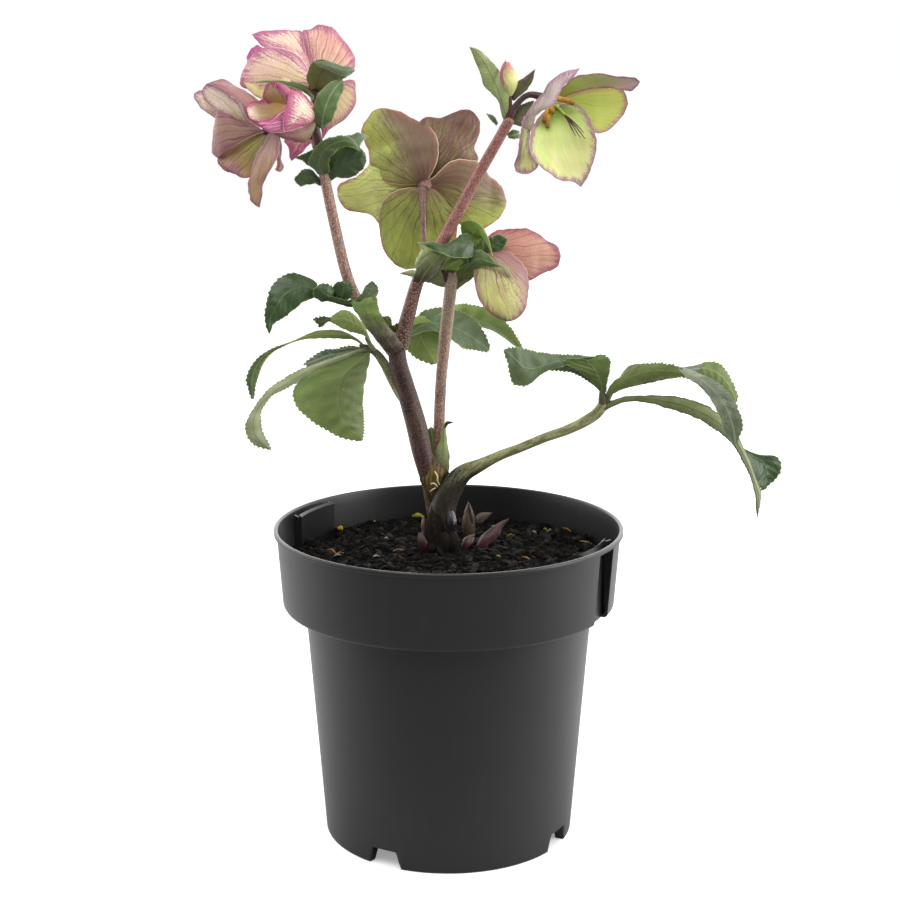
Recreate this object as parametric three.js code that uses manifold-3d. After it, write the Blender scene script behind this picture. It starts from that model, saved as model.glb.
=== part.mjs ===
// A hellebore in flower, standing in its nursery pot. Millimetres, +Z up, +Y to the back. Places are
// measured from the middle of the pot's base, and the finished group is moved so that its origin lies
// under the middle of the whole plant. Angles round the pot are degrees from the front (-Y), positive
// towards +X.
import * as THREE from "three";
import { mergeVertices } from "three/addons/utils/BufferGeometryUtils.js";
import Module from "manifold-3d";

const wasm = await Module();
wasm.setup();

// ---------------------------------------------------------------- driving sizes
const RIM_R = 95; // outside of the lip
const HEIGHT = 172.75; // top of the lip
const WALL = 1.5;
const LIP_DROP = 2.5;
const LIP_IN = 3.2;
const COLLAR_TOP_R = 93.4;
const COLLAR_FOOT_R = 90.5;
const COLLAR_Z = 130.3;
const BODY_TOP_R = 78.6;
const BODY_FOOT_R = 68.5;
const FLOOR_Z = 11;
const FOOT_RING_IN = 62;
const NOTCH = { count: 4, first: -30, foot: 20, top: 14, high: 10 };
const POCKET = { angles: [62, -118], spread: 23.5, inner: 85.5, cheek: 1, top: 172 };
const WINDOW = { shift: 1.2, spread: 11.5 }; // behind it the pocket takes a plant label
const SOIL_Z = 155;
const POT_X = -21; // the pot's axis, from the middle of the plant's spread

const GAP = 0.35; // clearance kept where two pieces meet
const SHEET = 0.9; // thickness of a leaf or sepal
const STEM_SIDES = 6;
const LATHE_STEPS = 40;

// stations along a sheet where its two half-widths are given, between the base and the tip
const STATIONS = [0, 0.12, 0.3, 0.5, 0.7, 0.86, 0.95, 1];
const SHEET_ROWS = [0, 0.15, 0.38, 0.62, 0.84, 1];
const SHEET_COLUMNS = 4;
const TIP_HALF = 0.4;

// ---------------------------------------------------------------- materials
function finish(color, roughness) {
  return new THREE.MeshStandardMaterial({ color, roughness, metalness: 0 });
}
const FINISH = {
  pot: finish("#454545", 0.5),
  soil: finish("#1d1814", 0.95),
  crown: finish("#33231d", 0.85),
  darkStem: finish("#59383a", 0.55),
  pinkStem: finish("#8b5f5f", 0.55),
  greenStem: finish("#7d7b52", 0.55),
  leaf: finish("#4f6b42", 0.5),
  bract: finish("#6d8650", 0.5),
  sheath: finish("#8b8350", 0.7),
  shoot: finish("#6d3442", 0.5),
  roseSepal: finish("#d3a3a4", 0.6),
  mauveSepal: finish("#9a7470", 0.6),
  greenSepal: finish("#9aa25f", 0.6),
  limeSepal: finish("#cdd48c", 0.6),
  stamens: finish("#b98a2c", 0.7),
};

// ---------------------------------------------------------------- solids
function solidOf(positions, triangles) {
  let volume = 0;
  const at = (i) => new THREE.Vector3().fromArray(positions, 3 * i);
  for (let t = 0; t < triangles.length; t += 3) {
    const [a, b, c] = [0, 1, 2].map((k) => at(triangles[t + k]));
    volume += a.dot(b.cross(c));
  }
  const turned = volume < 0 ? [...triangles].reverse() : triangles;
  const mesh = new wasm.Mesh({
    numProp: 3,
    vertProperties: new Float32Array(positions),
    triVerts: new Uint32Array(turned),
  });
  return new wasm.Manifold(mesh);
}

function solidFrom(geometry) {
  geometry.deleteAttribute("normal");
  geometry.deleteAttribute("uv");
  const merged = mergeVertices(geometry, 1e-4);
  return solidOf(Array.from(merged.attributes.position.array), Array.from(merged.index.array));
}

// A closed skin over rings of equal point count, each end closed by a strip across its ring.
function loft(rings) {
  const count = rings[0].length;
  const positions = rings.flat().flatMap((p) => [p.x, p.y, p.z]);
  const triangles = [];
  const quad = (a, b, c, d) => triangles.push(a, b, c, a, c, d);
  for (let k = 0; k + 1 < rings.length; k++) {
    for (let i = 0; i < count; i++) {
      const j = (i + 1) % count;
      quad(k * count + i, k * count + j, (k + 1) * count + j, (k + 1) * count + i);
    }
  }
  const last = (rings.length - 1) * count;
  for (let i = 0; i < count / 2 - 1; i++) {
    const j = count - 1 - i;
    quad(j, j - 1, i + 1, i);
    quad(last + i, last + i + 1, last + j - 1, last + j);
  }
  return solidOf(positions, triangles);
}

function join(solids) {
  return solids.reduce((a, b) => a.add(b));
}

// ---------------------------------------------------------------- stems and sheets
const vectors = (points) => points.map((p) => new THREE.Vector3(...p));
const mix = (a, b, t) => a + (b - a) * t;

function valueAlong(values, t) {
  const place = t * (values.length - 1);
  const k = Math.min(Math.floor(place), values.length - 2);
  return mix(values[k], values[k + 1], place - k);
}

// A round stem along a curve, its radius read from the list.
function stem(points, radii, grow = 0, steps = 2 * (points.length - 1)) {
  const curve = new THREE.CatmullRomCurve3(vectors(points), false, "centripetal");
  const { normals, binormals } = curve.computeFrenetFrames(steps);
  const rings = [];
  for (let k = 0; k <= steps; k++) {
    const centre = curve.getPointAt(k / steps);
    if (k === 0) centre.addScaledVector(curve.getTangentAt(0), -grow);
    if (k === steps) centre.addScaledVector(curve.getTangentAt(1), grow);
    const radius = valueAlong(radii, k / steps) + grow;
    const ring = [];
    for (let i = 0; i < STEM_SIDES; i++) {
      const turn = (2 * Math.PI * i) / STEM_SIDES;
      const point = centre.clone();
      point.addScaledVector(normals[k], radius * Math.cos(turn));
      point.addScaledVector(binormals[k], radius * Math.sin(turn));
      ring.push(point);
    }
    rings.push(ring);
  }
  return loft(rings);
}

// Half-width at t, eased between the stations.
function halfWidth(halves, t) {
  const values = [halves[0] * 0.45, ...halves, TIP_HALF];
  const slope = values.map((_, i) => {
    const [lo, hi] = [Math.max(i - 1, 0), Math.min(i + 1, values.length - 1)];
    return (values[hi] - values[lo]) / (STATIONS[hi] - STATIONS[lo]);
  });
  const k = Math.min(STATIONS.findLastIndex((s) => s <= t), STATIONS.length - 2);
  const span = STATIONS[k + 1] - STATIONS[k];
  const x = (t - STATIONS[k]) / span;
  const eased =
    (2 * x ** 3 - 3 * x ** 2 + 1) * values[k] +
    (x ** 3 - 2 * x ** 2 + x) * span * slope[k] +
    (3 * x ** 2 - 2 * x ** 3) * values[k + 1] +
    (x ** 3 - x ** 2) * span * slope[k + 1];
  return Math.max(eased, TIP_HALF);
}

// Common outlines, as half-widths at the inner stations for a half-width of 1.
const OUTLINE = {
  sepal: [0.45, 0.8, 1, 0.97, 0.7, 0.4],
  ovate: [0.55, 0.92, 1, 0.82, 0.5, 0.24],
  leaf: [0.32, 0.72, 0.98, 0.95, 0.6, 0.3],
};
function even(outline, half) {
  const halves = OUTLINE[outline].map((part) => part * half);
  return [halves, halves];
}

// A thin sheet along a spine: `face` is the way its upper or inner side looks, from base to tip,
// and `cup` the angle, in degrees, by which each half bends towards that side.
function sheet({ spine, face, cup, halves }, grow = 0) {
  const curve = new THREE.CatmullRomCurve3(vectors(spine), false, "centripetal");
  const faces = vectors(Array.isArray(face[0]) ? face : [face, face]);
  const cups = Array.isArray(cup) ? cup : [cup, cup];
  const rings = SHEET_ROWS.map((t) => {
    const centre = curve.getPointAt(t);
    const along = curve.getTangentAt(t);
    const up = faces[0].clone().lerp(faces[1], t);
    up.addScaledVector(along, -up.dot(along)).normalize();
    const side = new THREE.Vector3().crossVectors(along, up);
    const bend = THREE.MathUtils.degToRad(mix(cups[0], cups[1], t)) || 0.02;
    const row = (lift) => {
      const points = [];
      for (let i = 0; i < SHEET_COLUMNS; i++) {
        const v = (2 * i) / (SHEET_COLUMNS - 1) - 1;
        const half = halfWidth(halves[v > 0 ? 1 : 0], t) + grow;
        const radius = half / bend;
        const point = centre.clone();
        point.addScaledVector(side, radius * Math.sin(bend * v) - lift * Math.sin(bend * v));
        point.addScaledVector(up, radius * (1 - Math.cos(bend * v)) + lift * Math.cos(bend * v));
        points.push(point);
      }
      return points;
    };
    const outward = bend < 0 ? 1 : -1; // thickened to the hollow side's back, so it can't cross itself
    return [...row(-outward * grow), ...row(outward * (SHEET + grow)).reverse()];
  });
  return loft(rings);
}

// ---------------------------------------------------------------- the pot and its soil
// A block between two radii and two angles, from z to z + high.
function sector(inner, outer, middle, spread, z, high) {
  const [from, to] = [middle - spread / 2, middle + spread / 2].map((a) => THREE.MathUtils.degToRad(a - 90));
  const shape = new THREE.Shape();
  shape.absarc(0, 0, outer, from, to, false);
  shape.absarc(0, 0, inner, to, from, true);
  const block = new THREE.ExtrudeGeometry(shape, { depth: high, bevelEnabled: false, curveSegments: 8 });
  return solidFrom(block.translate(0, 0, z));
}

function lathe(profile) {
  const points = profile.map(([r, z]) => new THREE.Vector2(r, z));
  return solidFrom(new THREE.LatheGeometry(points, LATHE_STEPS).rotateX(Math.PI / 2));
}

// A wedge that widens to the foot, cut through the foot ring.
function notch(angle) {
  const { foot, top, high } = NOTCH;
  const shape = new THREE.Shape();
  shape.moveTo(-foot / 2, -1);
  shape.lineTo(foot / 2, -1);
  shape.lineTo(foot / 2, 0);
  shape.lineTo(top / 2, high);
  shape.lineTo(-top / 2, high);
  shape.lineTo(-foot / 2, 0);
  const wedge = new THREE.ExtrudeGeometry(shape, { depth: 16, bevelEnabled: false });
  wedge.rotateX(Math.PI / 2).translate(0, -BODY_FOOT_R + 10, 0);
  return solidFrom(wedge.rotateZ(THREE.MathUtils.degToRad(angle)));
}

function bodyRadius(z) {
  return mix(BODY_FOOT_R, BODY_TOP_R, z / COLLAR_Z);
}

function collarRadius(z) {
  return mix(COLLAR_FOOT_R, COLLAR_TOP_R, (z - COLLAR_Z) / (HEIGHT - LIP_DROP - COLLAR_Z));
}

function pot() {
  const lipZ = HEIGHT - LIP_DROP;
  const shoulder = COLLAR_Z + WALL;
  const plain = lathe([
    [0, FLOOR_Z],
    [FOOT_RING_IN, FLOOR_Z],
    [FOOT_RING_IN + 1.5, 0],
    [BODY_FOOT_R - 2, 0],
    [BODY_FOOT_R - 0.5, 0.7],
    [bodyRadius(2), 2],
    [bodyRadius(COLLAR_Z - 0.5), COLLAR_Z - 0.5],
    [COLLAR_FOOT_R - 2, COLLAR_Z],
    [COLLAR_FOOT_R, COLLAR_Z + 2],
    [collarRadius(lipZ), lipZ],
    [RIM_R - 0.6, lipZ],
    [RIM_R, lipZ + 0.7],
    [RIM_R, HEIGHT - 0.8],
    [RIM_R - 0.8, HEIGHT],
    [RIM_R - LIP_IN, HEIGHT],
    [collarRadius(shoulder + 2) - WALL, shoulder + 2],
    [collarRadius(shoulder) - WALL - 2, shoulder],
    [bodyRadius(shoulder) - WALL, shoulder],
    [bodyRadius(FLOOR_Z) - WALL, FLOOR_Z + WALL],
    [0, FLOOR_Z + WALL],
  ]);
  // inside the collar's outer face, so that nothing of a pocket stands out of it
  const within = lathe([
    [POCKET.inner - 1, shoulder - 1],
    [COLLAR_FOOT_R - 0.5, shoulder - 1],
    [collarRadius(lipZ) - 0.5, lipZ],
    [RIM_R - LIP_IN + 1, HEIGHT - 0.5],
    [POCKET.inner - 1, HEIGHT - 0.5],
    [POCKET.inner - 1, shoulder - 1],
  ]);
  let made = plain;
  for (const angle of POCKET.angles) {
    const { inner, spread, cheek, top } = POCKET;
    const high = top - shoulder + 1;
    const panel = sector(inner, inner + WALL, angle, spread, shoulder - 1, high);
    const cheeks = [-1, 1].map((side) =>
      sector(inner, RIM_R, angle + (side * (spread - cheek)) / 2, cheek, shoulder - 1, high),
    );
    const from = inner + WALL;
    const at = angle + WINDOW.shift;
    const view = sector(from, RIM_R + 5, at, WINDOW.spread, COLLAR_Z - 1, lipZ - COLLAR_Z + 1);
    made = join([made, panel, join(cheeks).intersect(within)]).subtract(view);
  }
  for (let i = 0; i < NOTCH.count; i++) {
    made = made.subtract(notch(NOTCH.first + (360 / NOTCH.count) * i));
  }
  return made;
}

function soil() {
  const inside = WALL + GAP;
  const shoulder = COLLAR_Z + inside;
  let made = lathe([
    [0, FLOOR_Z + inside],
    [bodyRadius(FLOOR_Z) - inside - 0.3, FLOOR_Z + inside],
    [bodyRadius(shoulder) - inside - 0.3, shoulder + 0.2],
    [collarRadius(shoulder) - inside - 2.4, shoulder + 0.2],
    [collarRadius(shoulder + 3) - inside - 0.3, shoulder + 3],
    [collarRadius(SOIL_Z - 2) - inside, SOIL_Z - 2],
    [70, SOIL_Z],
    [40, SOIL_Z + 1],
    [18, SOIL_Z + 3],
    [0, SOIL_Z + 3],
  ]);
  for (const angle of POCKET.angles) {
    made = made.subtract(sector(POCKET.inner - GAP, RIM_R, angle, POCKET.spread + 1, shoulder - 2, 40));
  }
  return made;
}

// ---------------------------------------------------------------- the plant
// Each entry builds its solid; a grown copy of it is what later neighbours are cut back by.
const nodes = [];
const piece = (name, material, make) => nodes.push({ name, material, make });
const sheetPiece = (name, material, spec) => piece(name, material, (grow) => sheet(spec, grow));

piece("nursery_pot", FINISH.pot, () => pot());

piece("crown", FINISH.crown, (grow) =>
  stem([[-3, 15, 138], [-3, 14, 150], [-3, 14, 162], [-4, 14, 172]], [11, 13, 12, 8], grow),
);
piece("main_stem", FINISH.darkStem, (grow) =>
  stem([[-9, 14, 166], [-12, 13, 200], [-18, 10, 230], [-26, 5, 260], [-26, 3, 274]],
    [7, 6.3, 5.8, 5.4, 4.6], grow),
);
piece("second_stem", FINISH.pinkStem, (grow) =>
  join([
    stem([[-6, 20, 168], [-6, 20, 194], [-4, 16, 250], [-1, 11, 286], [2, 6, 312]],
      [3.8, 3.6, 3.1, 3.1, 3.4], grow),
    stem([[1, 7, 308], [-6, 8, 316], [-11, 10, 327], [-13, 15, 342], [-14, 25, 355]],
      [2, 1.9, 1.7, 1.7, 3.2], grow),
    stem([[2, 6, 310], [10, 5, 317], [19, 5, 318]], [2, 1.8, 3], grow),
  ]),
);
piece("right_branch", FINISH.pinkStem, (grow) =>
  join([
    stem([[-26, 3, 270], [-23, 2, 282], [-15, 0, 309], [-3, -4, 328], [13, -8, 358], [31, -12, 390]],
      [4.6, 3.6, 3.3, 3.1, 2.8, 2.8], grow),
    stem([[30, -12, 388], [34, -11, 397], [41, -10, 403], [51, -11, 401]], [2.4, 1.7, 1.6, 2.6], grow),
    stem([[30, -12, 389], [31, -12, 397], [30.5, -12, 404]], [2, 1.6, 1.8], grow, 3),
  ]),
);
piece("left_branch", FINISH.darkStem, (grow) =>
  join([
    stem([[-30, 3, 268], [-44, 1, 288], [-53, 0, 307], [-60, -1, 337], [-66, -3, 368], [-70, -4, 384]],
      [3.4, 3.2, 3, 2.9, 2.7, 2.6], grow),
    stem([[-70, -4, 382], [-69, 4, 394], [-71, 13, 407]], [2.4, 1.8, 3], grow),
    stem([[-69, -4, 381], [-81, -6, 385], [-94, -10, 384]], [2, 1.7, 2.8], grow),
    stem([[-70, -4, 383], [-71, -10, 384], [-72, -15, 385]], [2.4, 2.6, 3], grow, 3),
  ]),
);
piece("basal_leaf_petiole", FINISH.greenStem, (grow) =>
  stem([[-1, 11, 170], [6, 8, 192], [18, 5, 203], [40, 2, 216], [61, 0, 223], [73, -1, 230], [81, -2, 238],
    [83, -2, 248]], [6.5, 4.6, 3.2, 2.7, 2.6, 2.6, 2.6, 3], grow, 21),
);
piece("stem_leaf_petiole", FINISH.greenStem, (grow) =>
  stem([[-20, 11, 238], [-28, 12, 249], [-35, 13, 262], [-39, 13, 268]], [2.6, 2.4, 2.2, 2.4], grow, 6),
);
piece("new_shoots", FINISH.shoot, (grow) =>
  join([
    stem([[13, 42, 150], [13, 42, 158], [12.5, 41, 167], [11.5, 40, 175]], [2.8, 2.9, 2.4, 0.8], grow),
    stem([[18, 71, 150], [19, 71, 156], [22, 71, 159], [25, 71, 161]], [2.4, 2.4, 1.9, 0.8], grow),
    stem([[16, 17, 150], [19, 17, 159], [26, 17, 166], [33.5, 18, 171.5]], [3, 2.9, 2.4, 0.8], grow),
    stem([[8, 13, 150], [9, 12.5, 157], [14, 12.5, 163]], [2.4, 2.2, 0.8], grow, 5),
    stem([[8, 12, 149], [16, 17, 149], [14, 42, 149], [18, 72, 149]], [2.6, 2.8, 2.8, 2.4], grow),
  ]),
);
piece("potting_soil", FINISH.soil, () => soil());

// sheaths round the stem bases
sheetPiece("brown_sheath", FINISH.sheath, {
  spine: [[-6, 8, 171], [-7, 4, 190], [-6, 5, 202], [-7, 7, 215]],
  face: [-0.1, 0.9, 0.2], cup: 80, halves: even("ovate", 7.5),
});
sheetPiece("green_sheath", FINISH.bract, {
  spine: [[0, 14, 176], [-1, 14, 196], [-1, 14, 211], [1, 15, 228]],
  face: [-0.5, 0.85, 0.2], cup: 80, halves: even("ovate", 7),
});

// F1: the flower at the top left, seen from outside
const TOP_FLOWER = [
  { spine: [[-71, 16, 410], [-76, 12, 419], [-86, 14, 428], [-101, 20, 433]], face: [-0.2, -1, 0.25],
    cup: -20, halves: [[7, 12, 14, 10, 6, 2], [7, 11, 12.5, 8.5, 5, 2]] },
  { spine: [[-71, 18, 410], [-65, 15, 419], [-58, 18, 428], [-55, 25, 435]], face: [0.1, 1, 0], cup: 25,
    halves: [[8, 12.5, 15, 15, 12, 7], [7, 11.5, 12.5, 12, 9.5, 5]] },
  { spine: [[-71, 12, 409], [-81, 7, 415], [-94, 5, 418], [-107, 8, 415]], face: [-0.1, -1, 0.35], cup: -15,
    halves: [[8, 12, 13, 12, 11, 8], [7, 11, 12.5, 11, 7, 3]] },
  { spine: [[-70, 16, 408], [-61, 12, 402], [-55, 13, 395], [-56, 18, 386]], face: [0.3, 1, -0.1], cup: 20,
    halves: [[5, 8, 9, 8, 5.5, 3], [8, 13, 14, 12, 8, 4]] },
  { spine: [[-71, 13, 406], [-76, 8, 393], [-80, 7, 379], [-83, 7, 369]], face: [0.2, 1, 0.1], cup: 20,
    halves: even("sepal", 10) },
];
// F2: the half-open cup
const CUP_FLOWER = [
  { spine: [[-71, -12, 385], [-76, -10, 396], [-83, -12, 404], [-91, -16, 408]], face: [-0.5, -0.85, -0.1],
    cup: 45, halves: even("sepal", 11) },
  { spine: [[-71, -14, 383], [-82, -13, 388], [-92, -15, 394], [-102, -18, 398]], face: [-0.1, -0.7, 0.7],
    cup: 40, halves: even("sepal", 9) },
  { spine: [[-69, -15, 385], [-71, -22, 394], [-75, -26, 401], [-82, -25, 404]], face: [-0.75, 0.6, -0.35],
    cup: 50, halves: even("sepal", 12) },
  { spine: [[-70, -16, 384], [-78, -24, 387], [-87, -28, 390], [-97, -27, 391]], face: [-0.1, 0.75, 0.65],
    cup: 40, halves: even("sepal", 9) },
  { spine: [[-70, -13, 382], [-78, -20, 383], [-85, -23, 385], [-92, -22, 386]], face: [0, 0.5, 0.85],
    cup: 45, halves: even("sepal", 7) },
];
// F3: the flower at the lower left
const SIDE_FLOWER = [
  { spine: [[-94, -10, 385], [-103, -12, 394], [-114, -10, 403], [-129, -4, 408]], face: [-0.3, 0.5, -0.8],
    cup: 30, halves: [[8, 12, 12.5, 11, 8, 3], [6, 10, 12, 10, 6, 2]] },
  { spine: [[-94, -6, 385], [-108, -2, 392], [-121, 2, 398], [-132, 4, 403]], face: [-0.2, -0.9, 0.3],
    cup: 20, halves: even("sepal", 10) },
  { spine: [[-94, -12, 384], [-103, -14, 384], [-112, -14, 382], [-122, -10, 376]], face: [0, 0.8, -0.5],
    cup: 15, halves: [[4.5, 8, 12, 14, 9.5, 4], [3, 5, 8, 9.5, 8, 5]] },
  { spine: [[-94, -12, 384], [-99, -15, 376], [-105, -16, 370], [-114, -14, 364]], face: [0.1, 0.9, -0.2],
    cup: 15, halves: [[5, 7.5, 9, 10, 9.5, 7], [3.5, 6, 8, 8.5, 6, 3]] },
  { spine: [[-92, -12, 384], [-92, -16, 374], [-96, -18, 363], [-98, -16, 346]], face: [0.3, 0.9, -0.1],
    cup: 30, halves: [[3, 5.5, 6.8, 6.5, 4.5, 2], [4, 5, 5.2, 4, 2.2, 1]] },
];
// F4: the flower that shows its back, with five sepals like a wheel
const BACK_FLOWER = [
  { spine: [[-14, 25, 356], [-20, 25, 369], [-26, 27, 382], [-30, 33, 395]], face: [0.05, 1, 0.1], cup: 30,
    halves: [[11, 16, 17.5, 15, 9, 4], [10, 16, 19, 18.5, 16, 9]] },
  { spine: [[-13, 26, 356], [1, 25, 354], [17, 27, 350], [32, 33, 347]], face: [0, 1, 0], cup: 28,
    halves: [[8, 13, 16, 17.5, 15, 9], [8, 14.5, 17, 14, 10, 5]] },
  { spine: [[-14, 27, 355], [-16, 28, 341], [-19, 30, 325], [-23, 35, 307]], face: [0, 1, 0], cup: 28,
    halves: [[12, 18, 19, 17.5, 12, 6], [10, 16, 18.5, 17.5, 12, 5]] },
  { spine: [[-13, 28, 356], [-6, 31, 368], [1, 33, 379], [8, 37, 394]], face: [-0.05, 1, 0.05], cup: 25,
    halves: [[9, 14, 16.5, 15.5, 13, 7], [9, 14, 17, 17, 12, 6]] },
  { spine: [[-14, 28, 356], [-27, 31, 353], [-45, 34, 352], [-60, 38, 350]], face: [0, 1, 0], cup: 25,
    halves: [[7, 10, 11, 11, 9, 5], [9, 14, 17, 15, 11, 7]] },
];
// F5: the flower at the lower right, three sepals showing
const LOW_FLOWER = [
  { spine: [[18, 4, 318], [27, -5, 312], [31, -9, 298], [33, -8, 286]], face: [-0.4, 0.9, -0.3], cup: 30,
    halves: [[8, 13.5, 15, 13.5, 9, 5], [8, 13.5, 14, 12.5, 9.5, 6]] },
  { spine: [[18, 6, 317], [28, 6, 320], [43, 8, 320], [60, 12, 318]], face: [-0.2, 1, -0.2], cup: 25,
    halves: [[6, 10, 12, 11.5, 8.5, 4.5], [7, 11.5, 13, 11, 8, 4.5]] },
  { spine: [[18, 8, 317], [27, 16, 313], [36, 20, 307], [45, 20, 302]], face: [-0.3, 0.9, 0.4], cup: 25,
    halves: even("sepal", 13) },
];
// F6: the open flower at the top right
const OPEN_FLOWER = [
  { spine: [[51, -13, 400], [53, -26, 388], [58, -31, 376], [65, -32, 358]], face: [0.1, -0.9, 0.45], cup: 25,
    halves: [[9, 14.5, 17, 16, 11, 5], [7, 12.5, 16.5, 14, 8, 2.5]] },
  { spine: [[52, -11, 401], [64, -14, 401], [76, -14, 397], [88, -12, 391]], face: [-0.2, -0.9, 0.1], cup: 20,
    halves: [[6, 10, 12.5, 13, 11, 7], [6, 10, 12.5, 12.5, 10, 6]] },
  { spine: [[52, -12, 402], [62, -22, 408], [76, -28, 410], [95, -32, 409]], face: [-0.1, -0.2, -0.95],
    cup: 35, halves: [[4, 8, 10, 9, 7, 4], [4, 8, 10, 9, 7, 4]] },
  { spine: [[50, -14, 401], [47, -26, 398], [46, -34, 403], [64, -36, 416]], face: [0.8, -0.2, -0.5], cup: 60,
    halves: even("sepal", 10) },
  { spine: [[50, -12, 400], [44, -18, 389], [41, -20, 376], [40, -18, 363]], face: [0.8, -0.5, 0.2], cup: 30,
    halves: [[3, 5.5, 7.5, 9, 8.5, 6], [3, 6, 7.5, 8.5, 7.5, 5]] },
];
const FLOWERS = [
  ["top_flower_sepal", FINISH.roseSepal, TOP_FLOWER],
  ["cup_flower_sepal", FINISH.roseSepal, CUP_FLOWER],
  ["side_flower_sepal", FINISH.mauveSepal, SIDE_FLOWER],
  ["back_flower_sepal", FINISH.greenSepal, BACK_FLOWER],
  ["low_flower_sepal", FINISH.mauveSepal, LOW_FLOWER],
  ["open_flower_sepal", FINISH.limeSepal, OPEN_FLOWER],
];
piece("open_flower_stamens", FINISH.stamens, (grow) =>
  join([
    stem([[51, -12, 401], [53, -16, 398], [54, -19, 396]], [2.6, 3.4, 2.6], grow, 3),
    stem([[53, -17, 397], [60, -26, 390], [65, -33, 385.5]], [1.2, 1, 0.9], grow, 4),
    stem([[53, -16, 398], [50, -22, 393], [48.5, -26, 387]], [1.4, 1.5, 1.3], grow, 3),
    stem([[53, -16, 398], [58, -21, 401], [64, -26, 399]], [1.4, 1.5, 1.4], grow, 3),
  ]),
);
for (const [name, material, sepals] of FLOWERS) {
  sepals.forEach((spec, i) => sheetPiece(`${name}_${i + 1}`, material, spec));
}
piece("flower_bud", FINISH.limeSepal, (grow) =>
  stem([[30.4, -12, 404.5], [30.4, -12.5, 407], [30.3, -13, 412.5], [29.8, -13, 417], [29.2, -13, 421]],
    [2.6, 4.6, 5.2, 3.8, 0.8], grow, 8),
);

// leaflets of the basal leaf, spread from the end of its petiole
const BASAL_LEAFLETS = [
  { spine: [[82, -2, 247], [74, -9, 255], [63, -18, 263], [47, -27, 267], [31, -33, 266]],
    face: [[0.3, 0.9, 0.3], [0, -0.75, 0.7]], cup: [60, -5],
    halves: [[4, 9, 10, 10, 11, 9], [5, 12, 13, 9, 8, 7]] },
  { spine: [[83, -3, 248], [92, -10, 257], [105, -20, 263], [124, -34, 262], [140, -44, 248],
      [148, -48, 228]],
    face: [[-0.1, 0.8, 0.6], [0.75, -0.6, 0.4]], cup: [40, 30],
    halves: [[3, 7, 9, 9, 7, 3.5], [3, 7, 9.5, 11, 9, 5]] },
  { spine: [[83, 0, 248], [97, 14, 257], [116, 26, 257], [139, 34, 254], [158, 38, 243], [164, 40, 231]],
    face: [[0.1, 0.2, 1], [0.6, 0.8, 0.3]], cup: [45, 20], halves: even("leaf", 16) },
  { spine: [[83, -3, 244], [102, -8, 245], [128, -12, 239], [150, -14, 221], [161, -14, 200],
      [166, -12, 180]],
    face: [[0, 0.75, 0.65], [0.55, 0.8, 0.2]], cup: [55, 60],
    halves: [[3, 5, 6, 6, 5, 3], [3, 5, 6, 9, 14, 8]] },
];
BASAL_LEAFLETS.forEach((spec, i) => sheetPiece(`basal_leaflet_${i + 1}`, FINISH.leaf, spec));

// the upright bract at the fork, and the leaflets of the stem leaf on the left
sheetPiece("fork_bract", FINISH.bract, {
  spine: [[-28, 2, 268], [-35, -4, 276], [-43, -8, 288], [-44, -10, 297], [-40, -10, 307]],
  face: [0.5, 0.75, 0.4], cup: 70, halves: even("ovate", 13),
});
const STEM_LEAFLETS = [
  { spine: [[-44, -6, 290], [-52, -2, 293], [-62, 0, 301], [-78, -4, 305], [-88, -10, 296], [-94, -14, 280]],
    face: [[0, -0.3, 0.95], [-0.4, -0.85, 0.3]], cup: 10,
    halves: [[2, 4, 11, 12, 6, 2], [2, 4, 8, 9, 5.5, 2.5]] },
  { spine: [[-38, 14, 267], [-47, 12, 275], [-55, 8, 283], [-70, 2, 285]], face: [-0.1, 0.6, -0.5], cup: 20,
    halves: even("leaf", 7.5) },
  { spine: [[-39, 12, 267], [-53, 6, 276], [-72, -4, 278], [-93, -12, 268], [-104, -16, 245]],
    face: [[-0.1, 0.55, 0.8], [-0.8, -0.2, 0.3]], cup: 40, halves: even("leaf", 7) },
  { spine: [[-39, 10, 266], [-55, 2, 267], [-76, -8, 259], [-97, -16, 247], [-105, -18, 232],
      [-95, -16, 218]],
    face: [[-0.2, 0.6, 0.8], [-0.95, 0.2, 0.1]], cup: 50,
    halves: [[3, 5, 6, 6.5, 5.5, 3], [3, 6, 7.5, 7.5, 6, 3]] },
  { spine: [[-39, 14, 266], [-51, 22, 261], [-61, 30, 249], [-62, 34, 230], [-48, 34, 212]],
    face: [-0.2, 0.85, 0.35], cup: 20, halves: [[4, 12, 20, 16, 8, 3.5], [5, 11, 14.5, 14, 9.5, 4]] },
];
STEM_LEAFLETS.forEach((spec, i) => sheetPiece(`stem_leaflet_${i + 1}`, FINISH.leaf, spec));

// the leaf behind the stems, three leaflets on a short petiole
const REAR_LEAFLETS = [
  { spine: [[-24, 28, 272], [-10, 38, 278], [6, 46, 273], [23, 50, 261]],
    face: [[0.1, -0.5, 0.9], [0.3, -0.8, 0.5]], cup: 20, halves: even("leaf", 11) },
  { spine: [[-24, 30, 272], [1, 58, 280], [24, 66, 273], [42, 70, 258]],
    face: [[0.1, 0.6, 0.8], [0.6, 0.7, 0.4]], cup: 30, halves: even("leaf", 9) },
  { spine: [[-24, 28, 271], [-19, 36, 276], [-14, 40, 267], [-7, 40, 255]], face: [-0.2, 0.8, 0.5], cup: 20,
    halves: even("leaf", 10) },
];
piece("rear_leaf", FINISH.leaf, (grow) =>
  join([
    stem([[-26, 6, 262], [-26, 18, 270], [-24, 30, 272]], [2.4, 2, 2.6], grow, 5),
    ...REAR_LEAFLETS.map((spec) => sheet(spec, grow)),
  ]),
);

// ---------------------------------------------------------------- bracts
const whorl = (name, specs) =>
  piece(name, FINISH.bract, (grow) => join(specs.map((spec) => sheet(spec, grow))));

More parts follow.
